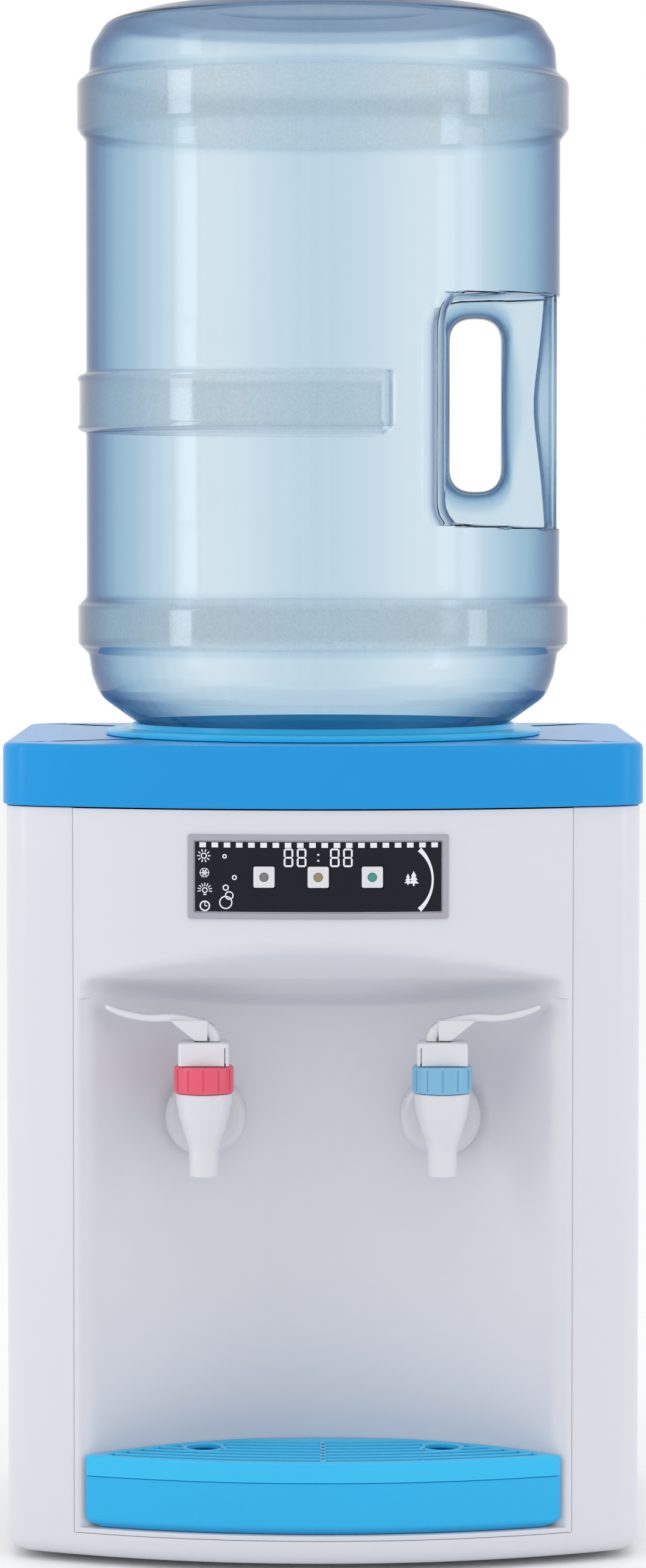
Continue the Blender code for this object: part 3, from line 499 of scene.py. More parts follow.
def makeCasing():
    seam = panelHigh.x + 0.0003
    rearHalf = rearHigh.x + 0.0003
    frontXs = stops((-0.150, -seam, 0.004), (-seam, seam, 0.006), (seam, 0.150, 0.004))
    rearXs = stops((-rearHalf, rearHalf, 0.012))
    strip = panelLow.z - 0.0003
    fillet = cabinet["bottomRound"]
    heights = []
    for step in range(7):
        angle = math.pi / 2 * step / 6
        heights.append((fillet * (1 - math.sin(angle)), caseLow.z + fillet * (1 - math.cos(angle))))
    heights += [(0, strip), (0, rearLow.z - 0.0003)]
    heights += [(0, z) for z in stops((0.03, caseHigh.z, 0.03))]
    full = cabinetPlan(frontXs, rearXs)
    rings = [[(x, y, z) for x, y in insetPlan(full, inset)] for inset, z in heights]
    points, faces = skin(rings)
    kept = []
    for face in faces:
        middle = sum((Vector(points[index]) for index in face), Vector()) / len(face)
        onFront = middle.y < bowY(min(abs(middle.x), seam)) + 0.002 and abs(middle.x) < seam
        onRear = middle.y > rearY - 0.001 and abs(middle.x) < rearHalf
        if not (onFront and middle.z > strip) and not (onRear and middle.z > rearLow.z - 0.0003):
            kept.append(face)
    kept.append(tuple(range(len(full))))
    item = makeObject("casing_shell", (points, kept))
    thicken(item, cabinet["wall"])
    softenEdges(item, cabinet["edge"], 60)
    bakeModifiers(item)
    settle(item, whitePlastic, "cabinet", "white_plastic", "casing")


makeCasing()
print("casing made")

niche = {
    "half": 0.126,
    "back": -0.072,
    "floor": 0.0200,
    "sideBlend": 0.010,
    "flareBlend": 0.004,
    "ceilingBlend": 0.012,
    # height against depth of the flared ceiling
    "ceiling": [(0.2860, -0.0500), (0.2890, -0.0600), (0.2924, -0.0720), (0.3000, -0.1000),
                (0.3103, -0.1269), (0.3145, -0.1335), (0.3192, -0.1400), (0.3240, -0.1450),
                (0.3297, -0.1500), (0.3360, -0.1545), (0.3450, -0.1600), (0.4000, -0.1900)],
    "bossRadius": 0.0215,
}
windowLow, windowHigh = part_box("display_window")


def panelDepth(x, z):
    front = bowY(x)
    if z < niche["floor"]:
        return front
    back = nicheBack(x, niche["half"], niche["back"])
    roof = throughPoints(niche["ceiling"], z)
    hollow = smoothMin(back, roof, niche["ceilingBlend"])
    blend = niche["sideBlend"] if z < 0.30 else niche["flareBlend"]
    return smoothMax(front, hollow, blend) if hollow > front - 0.02 else front


def makeFrontPanel():
    openLow = (windowLow.x - 0.0003, windowLow.z - 0.0003)
    openHigh = (windowHigh.x + 0.0003, windowHigh.z + 0.0003)
    xs = stops((panelLow.x, -0.105, 0.0013), (-0.105, 0.105, 0.0026), (0.105, panelHigh.x, 0.0013))
    xs = [x for x in xs if min(abs(x - openLow[0]), abs(x - openHigh[0])) > 0.0009]
    xs = sorted(xs + [openLow[0], openHigh[0]])
    zs = stops((panelLow.z, niche["floor"] - 0.0001, 0.003), (niche["floor"] + 0.0001, 0.270, 0.012),
               (0.270, 0.284, 0.0014), (0.284, 0.332, 0.0007), (0.332, panelHigh.z, 0.003))
    zs = [z for z in zs if min(abs(z - openLow[1]), abs(z - openHigh[1])) > 0.001]
    zs = sorted(zs + [openLow[1], openHigh[1]])
    rings = [[(x, panelDepth(x, z), z) for x in xs] for z in zs]
    points, faces = skin(rings, around=False)
    kept = []
    for face in faces:
        middle = sum((Vector(points[index]) for index in face), Vector()) / 4
        if not (openLow[0] < middle.x < openHigh[0] and openLow[1] < middle.z < openHigh[1]):
            kept.append(face)
    item = makeObject("front_panel_shell", (points, kept), weld=1e-7)
    if item.data.polygons[0].normal.y > 0:
        item.data.flip_normals()
    thicken(item, cabinet["wall"])
    softenEdges(item, cabinet["edge"], 70)
    bakeModifiers(item)
    settle(item, whitePlastic, "cabinet", "white_plastic", "front_panel", crease=50)

    plateLow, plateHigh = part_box("hot_escutcheon")
    bossFront = plateHigh.y + 0.0003
    for name, node in (("hot", "hot_escutcheon"), ("cold", "cold_escutcheon")):
        low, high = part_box(node)
        radius = niche["bossRadius"]
        profile = roundedLine([(0.007, 0.030), (radius, 0.030), (radius, 0, 0.0015), (0.0078, 0, 0.0004),
                               (0.0078, 0.0025), (0.007, 0.0025)], 4)
        turn = Matrix.Translation(((low.x + high.x) / 2, bossFront, (low.z + high.z) / 2))
        turn = turn @ Matrix.Rotation(math.radians(-90), 4, "X")
        boss = makeObject(name + "_tap_boss", turnedSkin([tuple(p) for p in profile], 72), turn)
        settle(boss, whitePlastic, "cabinet", "white_plastic")


makeFrontPanel()
print("front panel made")

# Blue top cover and the collar that the bottle stands in
cover = {
    "colour": (0.010, 0.285, 0.680),
    # the collar's blue is partly its own lighter blue and partly painted light, raised to make up for the
    # bottle's shadow on it
    "collarColourWithPaintedLight": (0.035, 0.520, 0.900),
    "topRound": 0.0040,
    "lowRound": 0.0012,
    "overhang": 0.0017,
    "hole": 0.1010,
}
coverBlue = plastic("glossyBlueCover", cover["colour"], 0.26, 0.03, 1400, 0.02, 0.05, shine=0.2)
# collar finish: its colour carries painted light against the bottle's shadow
collarBlueWithPaintedLight = plastic("glossyBlueCollarWithPaintedLight", cover["collarColourWithPaintedLight"], 0.24, 0.03, 1400, 0.02, 0.05, shine=0.2)
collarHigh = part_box("bottle_collar")[1]


def makeCover():
    plan = cabinetPlan(stops((-0.15, 0.15, 0.006)), stops((-0.14, 0.14, 0.02)))
    over = cover["overhang"]
    hole = cover["hole"]
    under = coverHigh.z - cabinet["wall"]
    edge = [(0.0050, coverLow.z + 0.0002), (-over, coverLow.z + 0.0002, cover["lowRound"]),
            (-over, coverHigh.z, cover["topRound"]), (0.0300, coverHigh.z)]
    rings = []
    for inset, z in roundedLine([(0.0050, coverLow.z + 0.02), *edge], 8):
        rings.append([(x, y, z) for x, y in insetPlan(plan, inset)])
    base = insetPlan(plan, 0.0300)
    for share in (0.35, 0.7):
        ring = []
        for place in base:
            onHole = Vector(place).normalized() * hole
            ring.append((*Vector(place).lerp(onHole, share), coverHigh.z))
        rings.append(ring)
    lip = [(hole + 0.006, coverHigh.z), (hole, coverHigh.z, 0.001), (hole, under), (hole + 0.006, under)]
    for radius, z in roundedLine(lip, 3)[1:]:
        rings.append([(*(Vector(place).normalized() * radius), z) for place in base])
    rings.append([(x, y, under) for x, y in base])
    rings.append([(x, y, under) for x, y in insetPlan(plan, 0.0050)])
    item = makeObject("top_cover_shell", skin(rings, joined=True))
    settle(item, coverBlue, "cabinet", "cover_blue", "top_cover", crease=40)


def makeCollar():
    top = collarHigh.z
    base = coverHigh.z + 0.0003
    outer = collarHigh.x
    profile = [(0.1045, top, 0.0009), (0.1045, base + 0.0032, 0.0012),
               (outer, base + 0.0030, 0.0012), (outer, base, 0.0004),
               (0.1005, base, 0.0005), (0.1005, 0.4250, 0.004), (0.0640, 0.4020, 0.01),
               (0.0395, 0.3860, 0.006), (0.0395, 0.3170, 0.002), (0.0078, 0.3170, 0.0008),
               (0.0078, 0.3200, 0.0008), (0.0370, 0.3200, 0.002), (0.0370, 0.3875, 0.005),
               (0.0630, 0.4045, 0.010), (0.0985, 0.4275, 0.004), (0.0985, top - 0.0032, 0.001),
               (0.1020, top, 0.0009)]
    item = makeObject("bottle_collar_ring", turnedSkin(roundedLine(profile, 4, True), 144))
    settle(item, collarBlueWithPaintedLight, "cabinet", "cover_blue", "bottle_collar")


makeCover()
makeCollar()
print("cover and collar made")

# Display: bowed frame, glossy window, printed marks and digits
display = {
    "frameColour": (0.37, 0.365, 0.425),
    "windowColour": (0.012, 0.012, 0.020),
    "markColour": (0.78, 0.78, 0.84),
    "markLift": 0.00016,
    "markThick": 0.00012,
    "blocks": 20,
    "blockWide": 0.0034,
    "blockHigh": 0.0026,
    "blockPitch": 0.00634,
    "lightColours": {"key_left": (0.15, 0.15, 0.16), "key_middle": (0.26, 0.21, 0.10),
                     "key_right": (0.015, 0.26, 0.20)},
    "lightRadius": 0.0023,
    "lightHigh": 0.0006,
    "lightSunk": 0.0009,  # depth of the round recess the light sits in
}
displayGrey = plastic("greyDisplayFrame", display["frameColour"], 0.38, 0.03, 1500, 0.04)
displayBlack = plastic("glossyBlackWindow", display["windowColour"], 0.12, 0.08, 600, 0.01, 0.03,
                       shine=0.12)
markWhite = plastic("printedWhiteMarks", display["markColour"], 0.45, 0.05, 3000, 0.05)
keyWhite = plastic("satinWhiteKeys", (0.70, 0.70, 0.74), 0.34, 0.03, 2200, 0.04)
displayLow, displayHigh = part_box("display_frame")
middleKeyLow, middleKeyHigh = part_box("key_middle")
displayX = (middleKeyLow.x + middleKeyHigh.x) / 2
displayZ = (middleKeyLow.z + middleKeyHigh.z) / 2
windowFront = -0.0011  # how far the window stands behind the bow, so it is proud of it


def denseOutline(outline, longest):
    dense = []
    for index, point in enumerate(outline):
        after = outline[(index + 1) % len(outline)]
        count = max(math.ceil((after - point).length / longest), 1)
        dense += [point.lerp(after, step / count) for step in range(count)]
    return dense


def slabRings(low, high, radius, steps):
    # steps are (inset, depth) pairs
    centre = Vector(((low[0] + high[0]) / 2, (low[1] + high[1]) / 2))
    outline = denseOutline(roundedBox(low, high, radius, 6), 0.004)
    half = Vector(((high[0] - low[0]) / 2, (high[1] - low[1]) / 2))
    rings = []
    for inset, depth in steps:
        ring = []
        for point in outline:
            away = point - centre
            x = centre.x + away.x * (1 - inset / half.x)
            z = centre.y + away.y * (1 - inset / half.y)
            ring.append((x, bowY(x, depth), z))
        rings.append(ring)
    return rings


def makeDisplay():
    low = (displayLow.x, displayLow.z)
    high = (displayHigh.x, displayHigh.z)
    rim = windowLow.x - displayLow.x - 0.0009
    steps = [(0, -0.0003), (0, -0.0010), (0.0002, -0.0013), (0.0005, -0.0014), (rim - 0.0006, -0.0014),
             (rim - 0.0002, -0.0013), (rim, -0.0010), (rim, -0.0003)]
    item = makeObject("display_surround", skin(slabRings(low, high, 0.0012, steps), joined=True))
    settle(item, displayGrey, "cabinet", "display_grey", "display_frame")

    # the window is a bowed grid with three square holes
    holes = []
    for name in ("key_left", "key_middle", "key_right"):
        keyLow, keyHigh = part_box(name)
        holes.append((keyLow.x - 0.0003, keyHigh.x + 0.0003))
    keyLow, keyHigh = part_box("key_left")
    rows = [windowLow.z, keyLow.z - 0.0003, keyHigh.z + 0.0003, windowHigh.z]
    xs = set(stops((windowLow.x, windowHigh.x, 0.003)))
    for pair in holes:
        xs = {x for x in xs if not pair[0] - 0.001 < x < pair[1] + 0.001} | set(pair)
    xs = sorted(xs)
    points, faces = skin([[(x, bowY(x, windowFront), z) for x in xs] for z in rows], around=False)
    kept = []
    for face in faces:
        middle = sum((Vector(points[index]) for index in face), Vector()) / 4
        inKey = any(a < middle.x < b for a, b in holes) and rows[1] < middle.z < rows[2]
        if not inKey:
            kept.append(face)
    item = makeObject("display_glass", (points, kept))
    if item.data.polygons[0].normal.y > 0:
        item.data.flip_normals()
    thicken(item, 0.0022)
    softenEdges(item, 0.00025, 60, 2)
    bakeModifiers(item)
    settle(item, displayBlack, "cabinet", "display_black", "display_window")


# Flat marks drawn in millimetres about the middle key, then laid on the window
def strokeBar(start, end, width):
    start, end = Vector(start), Vector(end)
    across = (end - start).normalized() * width / 2
    across = Vector((-across.y, across.x))
    return [start + across, start - across, end - across, end + across]


def ringMark(centre, radius, width, count=20):
    bars = []
    for step in range(count):
        first, second = math.tau * step / count, math.tau * (step + 1) / count
        quad = []
        inner = radius - width
        for angle, reach in ((first, radius), (second, radius), (second, inner), (first, inner)):
            across, up = reach * math.cos(angle), reach * math.sin(angle)
            quad.append(Vector((centre[0] + across, centre[1] + up)))
        bars.append(quad)
    return bars


def rayMarks(centre, inner, outer, width, count, first=0.0, last=360.0):
    bars = []
    gaps = count if last - first == 360 else count - 1
    for step in range(count):
        angle = math.radians(first + (last - first) * step / gaps)
        run = Vector((math.cos(angle), math.sin(angle)))
        bars.append(strokeBar(Vector(centre) + run * inner, Vector(centre) + run * outer, width))
    return bars


def digitMarks(left, top, wide, high, stroke):
    # an eight made of seven bars with mitred ends
    right, bottom, middle = left + wide, top - high, top - high / 2
    half = stroke / 2
    mitre, tip, join = 0.35, 0.45, 0.3
    marks = []
    for height in (top - half, middle, bottom + half):
        start, end = left + half + mitre, right - half - mitre
        outline = [(start, height + half), (left + tip, height), (start, height - half),
                   (end, height - half), (right - tip, height), (end, height + half)]
        marks.append([Vector(point) for point in outline])
    for x in (left + half, right - half):
        for low, tall in ((middle + mitre, top - 0.5), (bottom + 0.5, middle - mitre)):
            outline = [(x - half, low + join), (x, low), (x + half, low + join),
                       (x + half, tall - join), (x, tall), (x - half, tall - join)]
            marks.append([Vector(point) for point in outline])
    return marks


def treeMarks(x, y, wide, high):
    marks = []
    for level in range(3):
        spread = wide * (0.55 + 0.225 * level)
        top = y + high / 2 - level * high * 0.24
        marks.append([Vector((x, top)), Vector((x - spread / 2, top - high * 0.36)),
                      Vector((x + spread / 2, top - high * 0.36))])
    marks.append(strokeBar((x, y - high * 0.30), (x, y - high / 2), wide * 0.16))
    return marks


def laidMarks(marks):
    points, faces = [], []
    lift = display["markLift"]
    for mark in marks:
        area = sum(a.x * b.y - b.x * a.y for a, b in zip(mark, mark[1:] + mark[:1]))
        outline = mark if area > 0 else mark[::-1]
        start = len(points)
        count = len(outline)
        for depth in (lift, lift - display["markThick"]):
            for point in outline:
                x = displayX + point.x / 1000
                points.append((x, bowY(x, windowFront) - depth, displayZ + point.y / 1000))
        faces.append(tuple(start + index for index in range(count)))
        faces.append(tuple(start + count + index for index in reversed(range(count))))
        for index in range(count):
            after = (index + 1) % count
            faces.append((start + index, start + count + index, start + count + after, start + after))
    return points, faces


def makeMarks():
    marks = []
    for left in (-17.9, -11.1, 6.1, 12.9):
        marks += digitMarks(left, 15.0, 5.0, 9.7, 0.95)
    for height in (11.7, 8.6):
        marks.append(strokeBar((-0.45, height), (0.55, height), 1.0))
    sun, flake, lamp, clock = (-59.4, 10.9), (-59.1, 2.1), (-58.9, -7.0), (-58.9, -15.2)
    marks += ringMark(sun, 1.6, 0.6) + rayMarks(sun, 2.1, 3.5, 0.6, 10)
    marks += rayMarks(flake, 0, 2.6, 0.45, 6)
    marks += ringMark(flake, 1.4, 0.35, 6) + ringMark(flake, 2.5, 0.35, 12)
    marks += ringMark(lamp, 1.5, 0.55) + rayMarks(lamp, 2.1, 3.9, 0.5, 9, -10, 190)
    marks.append(strokeBar((lamp[0] - 0.8, lamp[1] - 2.2), (lamp[0] + 0.8, lamp[1] - 2.2), 0.7))
    marks += ringMark(clock, 2.8, 0.75) + [strokeBar(clock, (clock[0], clock[1] + 1.9), 0.5),
                                           strokeBar(clock, (clock[0] + 1.3, clock[1]), 0.5)]
    bubbles = [(-48.6, 10.7, 1.2), (-43.5, -0.3, 1.35), (-48.0, -5.6, 1.65), (-46.2, -9.7, 2.3),
               (-48.0, -13.3, 3.5)]
    for x, y, radius in bubbles:
        marks += ringMark((x, y), radius, 0.65)
    marks += treeMarks(46.6, -1.2, 3.8, 6.0) + treeMarks(49.6, -0.8, 5.4, 7.8)
    for step in range(22):
        quad = []
        for turn, side in ((step, 1), (step + 1, 1), (step + 1, -1), (step, -1)):
            share = turn / 22 * 2 - 1
            angle = math.radians(47.5) * share
            half = 0.55 + 0.75 * abs(share) ** 2
            reach = 21.3 + side * half
            quad.append(Vector((38.2 + reach * math.cos(angle), -1.45 + reach * math.sin(angle))))
        marks.append(quad)
    points, faces = laidMarks(marks)
    item = makeObject("display_marks", (points, faces), weld=1e-9)
    settle(item, markWhite, "cabinet", "key_white")


def makeCheckerStrip():
    sizes = {"Blocks": display["blocks"], "Pitch": display["blockPitch"], "Wide": display["blockWide"],
             "High": display["blockHigh"], "Thick": display["markThick"]}
    tree, value = startTree("checkerStrip", sizes)
    size = addNode(tree, "ShaderNodeCombineXYZ", inputs={
        0: value["Wide"], 1: value["Thick"], 2: value["High"]})
    block = addNode(tree, "GeometryNodeMeshCube", inputs={0: size, 1: 4})
    step = addNode(tree, "ShaderNodeCombineXYZ", inputs={0: value["Pitch"]})
    line = addNode(tree, "GeometryNodeMeshLine", inputs={"Count": value["Blocks"], "Offset": step})
    strip = addNode(tree, "GeometryNodeInstanceOnPoints", inputs={"Points": line, "Instance": block})
    endTree(tree, strip, markWhite)
    item = makeObject("display_blocks", ([], []))
    runTree(item, tree, sizes)
    first = displayX - 0.0600
    top = windowHigh.z - display["blockHigh"] / 2
    for vertex in item.data.vertices:
        x = first + vertex.co.x
        vertex.co = (x, bowY(x, windowFront) - display["markLift"] / 2 + vertex.co.y, top + vertex.co.z)
    settle(item, markWhite, "cabinet", "key_white")


def makeKeys():
    for name, colour in display["lightColours"].items():
        low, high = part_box(name)
        middle = (low + high) / 2
        half = (high.x - low.x) / 2
        soft = 0.0007
        steps = [(0.0003, high.y), (0, high.y - 0.0003), (0, low.y + soft), (0.0002, low.y + soft * 0.35),
                 (soft, low.y), (0.0019, low.y), (0.0022, low.y + 0.0002), (0.0030, low.y + 0.0002),
                 (0.0050, low.y + 0.0002)]
        rings = []
        for inset, y in steps:
            side = half - inset
            outline = roundedBox((-side, -side), (side, side), max(0.0011 - inset * 0.3, 0.0003), 5)
            rings.append([(middle.x + u, y, middle.z + v) for u, v in outline])
        item = makeObject(name + "_cap", skin(rings, capped=True))
        radius, high, sunk = display["lightRadius"], display["lightHigh"], display["lightSunk"]
        forward = Matrix.Rotation(math.radians(90), 4, "X")
        recess = radius + 0.0002
        hollow = [(0, 0.001), (recess, 0.001), (recess, -sunk), (0, -sunk)]
        turn = Matrix.Translation((middle.x, low.y, middle.z)) @ forward
        combine(item, makeObject("cut", turnedSkin(hollow, 32, False), turn), "DIFFERENCE")
        settle(item, keyWhite, name, "key_white", name)
        lamp = plastic(name + "_lamp", colour, 0.16, 0.15, 500, 0.02, 0.04, coat=0.5)
        profile = [(0, high)] + [(radius * math.sin(math.pi / 2 * step / 6),
                                  high * math.cos(math.pi / 2 * step / 6)) for step in range(1, 7)]
        profile += [(radius, -high), (0, -high)]
        turn = Matrix.Translation((middle.x, low.y + high, middle.z)) @ forward
        dome = makeObject(name + "_light", turnedSkin(profile, 32), turn)
        settle(dome, lamp, name, "key_white")


makeDisplay()
makeMarks()
makeCheckerStrip()
makeKeys()
print("display made")

# Hot and cold taps: turned body, ribbed nut, slotted block and lever
tap = {
    "colour": (0.675, 0.675, 0.720),
    "nutColours": {"hot": (0.740, 0.085, 0.150), "cold": (0.180, 0.440, 0.660)},
    "grooves": 12,
    "grooveWide": 0.0009,
    "grooveDeep": 0.0004,
    "slit": 0.0010,
    "slitPlace": 0.0113,  # inwards of the block's centre
    "leverHalf": 0.0058,
    "tipHalf": 0.0050,
    # lever line outwards and upwards from the pin, with its thickness
    "lever": [(-0.0055, -0.0050, 0.0060), (-0.0051, -0.0024, 0.0060), (-0.0017, 0.0022, 0.0056),
              (0.0068, 0.0052, 0.0050), (0.0169, 0.0072, 0.0042), (0.0304, 0.0072, 0.0036),
              (0.0430, 0.0098, 0.0034), (0.0514, 0.0132, 0.0020)],
    "web": [(0.0175, 0.0060), (0.0045, -0.0045), (-0.0020, -0.0045), (-0.0020, 0.0060)],
    "fork": (0.0055, 0.0027, -0.0060, 0.0046),  # half length, half width, low and high from the pin
}
tapWhite = plastic("glossyWhiteTap", tap["colour"], 0.24, 0.02, 1500, 0.02, 0.05, coat=0.2)
nutFinish = {side: plastic(side + "NutPlastic", colour, 0.34, 0.06, 1500, 0.05, 0.08)
             for side, colour in tap["nutColours"].items()}


def smoothPath(knots, steps):
    path = []
    ends = [knots[0]] + list(knots) + [knots[-1]]
    for index in range(len(knots) - 1):
        a, b, c, d = (Vector(knot) for knot in ends[index:index + 4])
        for step in range(steps):
            t = step / steps
            path.append((2 * b + (c - a) * t + (2 * a - 5 * b + 4 * c - d) * t * t
                         + (3 * b - a - 3 * c + d) * t**3) / 2)
    path.append(Vector(knots[-1]))
    return path


def makeNut(side, axisX, axisY):
    low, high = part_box(side + "_tap_nut")
    radius = (high.x - low.x) / 2
    sizes = {"Grooves": tap["grooves"], "Radius": radius, "Wide": tap["grooveWide"],
             "High": high.z - low.z - 0.0030, "Deep": tap["grooveDeep"] * 2}
    tree, value = startTree(side + "NutGrooves", sizes)
    size = addNode(tree, "ShaderNodeCombineXYZ", inputs={
        0: value["Deep"], 1: value["Wide"], 2: value["High"]})
    groove = addNode(tree, "GeometryNodeMeshCube", inputs={0: size})
    circle = addNode(tree, "GeometryNodeMeshCircle", inputs={
        "Vertices": value["Grooves"], "Radius": value["Radius"]})
    place = addNode(tree, "GeometryNodeInputPosition")
    turn = addNode(tree, "FunctionNodeAlignRotationToVector", {"axis": "X"}, {"Vector": place})
    grooves = addNode(tree, "GeometryNodeInstanceOnPoints", inputs={
        "Points": circle, "Instance": groove, "Rotation": turn})
    endTree(tree, grooves, nutFinish[side])
    cutter = makeObject(side + "_grooves", ([], []))
    runTree(cutter, tree, sizes)
    cutter.data.transform(Matrix.Translation((axisX, axisY, (low.z + high.z) / 2)))
    profile = [(0.0105, high.z), (radius, high.z, 0.0016), (radius, low.z, 0.0007), (0.0128, low.z),
               (0.0128, high.z - 0.0033), (0.0047, high.z - 0.0033), (0.0047, high.z), (0.0105, high.z)]
    body = moved(turnedSkin(roundedLine(profile, 5)[:-1], 96), Matrix.Translation((axisX, axisY, 0)))
    item = makeObject(side + "_nut_ribbed", body)
    combine(item, cutter, "DIFFERENCE")
    settle(item, nutFinish[side], "cabinet", "nut_red" if side == "hot" else "nut_blue", side + "_tap_nut")


def makeLever(side, axisX, axisY, pinZ, pinHalf):
    way = -1 if side == "hot" else 1
    path = smoothPath(tap["lever"], 5)
    rings = []
    for index, (out, up, thick) in enumerate(path):
        after = path[min(index + 1, len(path) - 1)]
        before = path[max(index - 1, 0)]
        run = Vector((after[0] - before[0], after[1] - before[1])).normalized()
        across = Vector((-run.y, run.x))
        share = index / (len(path) - 1)
        half = tap["leverHalf"] + (tap["tipHalf"] - tap["leverHalf"]) * share
        if share > 0.94:
            half *= math.sqrt(max(1 - ((share - 0.94) / 0.075) ** 2, 0.3))
        outline = roundedBox((-half, -thick / 2), (half, thick / 2), thick * 0.42, 5)
        ring = []
        for wide, tall in outline:
            flat = Vector((out, up)) + across * tall
            ring.append((axisX + way * flat.x, axisY + wide, pinZ + flat.y))
        rings.append(ring)
    item = makeObject(side + "_lever_arm", skin(rings, capped=True))

    # solid web under the bend that hides the pin, with a slot for the stem's tongue
    webHalf = max(pinHalf + 0.0006, tap["leverHalf"] + 0.0003)
    web = [[(axisX + way * out, axisY + y, pinZ + up) for out, up in tap["web"]]
           for y in (-webHalf, webHalf)]
    combine(item, makeObject("web", skin(web, capped=True)), "UNION")
    halfLong, halfWide, low, high = tap["fork"]
    box = roundedBox((-halfLong, -halfWide), (halfLong, halfWide), 0.0004, 2)
    fork = [[(axisX + u, axisY + v, pinZ + up) for u, v in box] for up in (low, high)]
    combine(item, makeObject("cut", skin(fork, capped=True)), "DIFFERENCE")
    boreHalf, boreRadius = pinHalf + 0.0002, 0.0016
    bore = [(0, boreHalf), (boreRadius, boreHalf), (boreRadius, -boreHalf), (0, -boreHalf)]
    turn = Matrix.Translation((axisX, axisY, pinZ)) @ Matrix.Rotation(math.radians(90), 4, "X")
    combine(item, makeObject("cut", turnedSkin(bore, 36, False), turn), "DIFFERENCE")
    settle(item, tapWhite, side + "_lever", "tap_white", side + "_tap_lever", crease=45)


def makeTap(side):
    bodyLow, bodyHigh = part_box(side + "_tap_body")
    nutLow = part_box(side + "_tap_nut")[0]
    blockLow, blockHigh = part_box(side + "_tap_block")
    plateLow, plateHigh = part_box(side + "_escutcheon")
    pinLow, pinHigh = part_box(side + "_lever_pin")
    axisX = (blockLow.x + blockHigh.x) / 2
    axisY = (blockLow.y + blockHigh.y) / 2
    low, top, lip = bodyLow.z, bodyHigh.z, nutLow.z - 0.0003
    profile = [(0.0102, top), (0.0125, top, 0.0004), (0.0125, lip), (0.0149, lip, 0.0009),
               (0.0146, lip - 0.0046, 0.002), (0.0131, lip - 0.0130, 0.006), (0.0105, lip - 0.0215, 0.010),
               (0.0090, lip - 0.0257, 0.006), (0.0079, lip - 0.0300, 0.004), (0.0076, low, 0.0007),
               (0.0058, low, 0.0005), (0.0058, lip - 0.0272), (0.0060, lip - 0.0240),
               (0.0088, lip - 0.0212, 0.001), (0.0102, lip - 0.0172, 0.001), (0.0102, top)]
    spout = moved(turnedSkin(roundedLine(profile, 5)[:-1], 72), Matrix.Translation((axisX, axisY, 0)))
    shankZ = (plateLow.z + plateHigh.z) / 2
    shank = [(0.0040, -0.0115), (0.0085, -0.0115), (0.0085, -0.0175, 0.002), (0.0068, -0.0215, 0.002),
             (0.0068, -(bodyHigh.y - axisY)), (0.0040, -(bodyHigh.y - axisY))]
    turn = Matrix.Translation((axisX, axisY, shankZ)) @ Matrix.Rotation(math.radians(90), 4, "X")
    arm = moved(turnedSkin(roundedLine(shank, 4), 48), turn)
    item = makeObject(side + "_tap_spout", joinShapes(spout, arm))
    settle(item, tapWhite, "cabinet", "tap_white", side + "_tap_body")

    plate = [(0.0076, 0), (0.0210, 0, 0.0003), (0.0210, 0.0010, 0.0008), (0.0185, 0.0030, 0.0015),
             (0.0120, 0.0030, 0.0008), (0.0100, 0.0024), (0.0076, 0.0024)]
    turn = Matrix.Translation((axisX, plateHigh.y, shankZ)) @ Matrix.Rotation(math.radians(90), 4, "X")
    item = makeObject(side + "_tap_plate", turnedSkin(roundedLine(plate, 4), 80), turn)
    settle(item, tapWhite, "cabinet", "tap_white", side + "_escutcheon")

    # block with a dark slit beside the lever
    way = 1 if side == "hot" else -1
    halfX = (blockHigh.x - blockLow.x) / 2
    halfY = (blockHigh.y - blockLow.y) / 2
    rings = []
    for inset, z in ((0.0008, blockLow.z), (0.0002, blockLow.z + 0.0002), (0, blockLow.z + 0.0008),
                     (0, blockHigh.z - 0.0016), (0.0004, blockHigh.z - 0.0006), (0.0016, blockHigh.z)):
        high = (halfX - inset, halfY - inset)
        outline = roundedBox((-high[0], -high[1]), high, 0.0026 - inset, 6)
        rings.append([(axisX + u, axisY + v, z) for u, v in outline])
    item = makeObject(side + "_block_cast", skin(rings, capped=True))
    stemHole = turnedSkin([(0, 0.02), (0.0052, 0.02), (0.0052, -0.02), (0, -0.02)], 36, False)
    stemHole = moved(stemHole, Matrix.Translation((axisX, axisY, blockHigh.z)))
    combine(item, makeObject("cut", stemHole), "DIFFERENCE")
    slitX = axisX + way * tap["slitPlace"]
    box = roundedBox((-tap["slit"] / 2, -halfY - 0.002), (tap["slit"] / 2, halfY + 0.002), 0.0003, 2)
    slit = [[(slitX + u, axisY + v, z) for u, v in box] for z in (blockLow.z - 0.002, blockHigh.z - 0.0025)]
    combine(item, makeObject("cut", skin(slit, capped=True)), "DIFFERENCE")
    settle(item, tapWhite, "cabinet", "tap_white", side + "_tap_block")

    makeNut(side, axisX, axisY)
    makeLever(side, axisX, axisY, (pinLow.z + pinHigh.z) / 2, (pinHigh.y - pinLow.y) / 2)


makeTap("hot")
makeTap("cold")
print("taps made")

# Drip tray and its slatted grille
tray = {
    "colour": (0.030, 0.430, 0.790),
    "grilleColour": (0.042, 0.500, 0.850),
    "wall": 0.0022,
    "slat": 0.0032,
    "slot": 0.0054,
    "rows": 7,
    "firstSlot": 0.0060,
    "slatHigh": 0.0028,
    "ring": (0.0632, -0.1010, 0.0120, 0.0092),  # x, y, outer and inner radius
    "soft": 0.0009,
}
trayBlue = plastic("glossyBlueTray", tray["colour"], 0.26, 0.03, 1400, 0.02, 0.06, shine=0.2)
grilleBlue = plastic("glossyBlueGrille", tray["grilleColour"], 0.26, 0.03, 1400, 0.02, 0.06, shine=0.2)
trayLow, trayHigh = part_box("drip_tray")
grilleLow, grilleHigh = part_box("tray_grille")
trayHalf = trayHigh.x


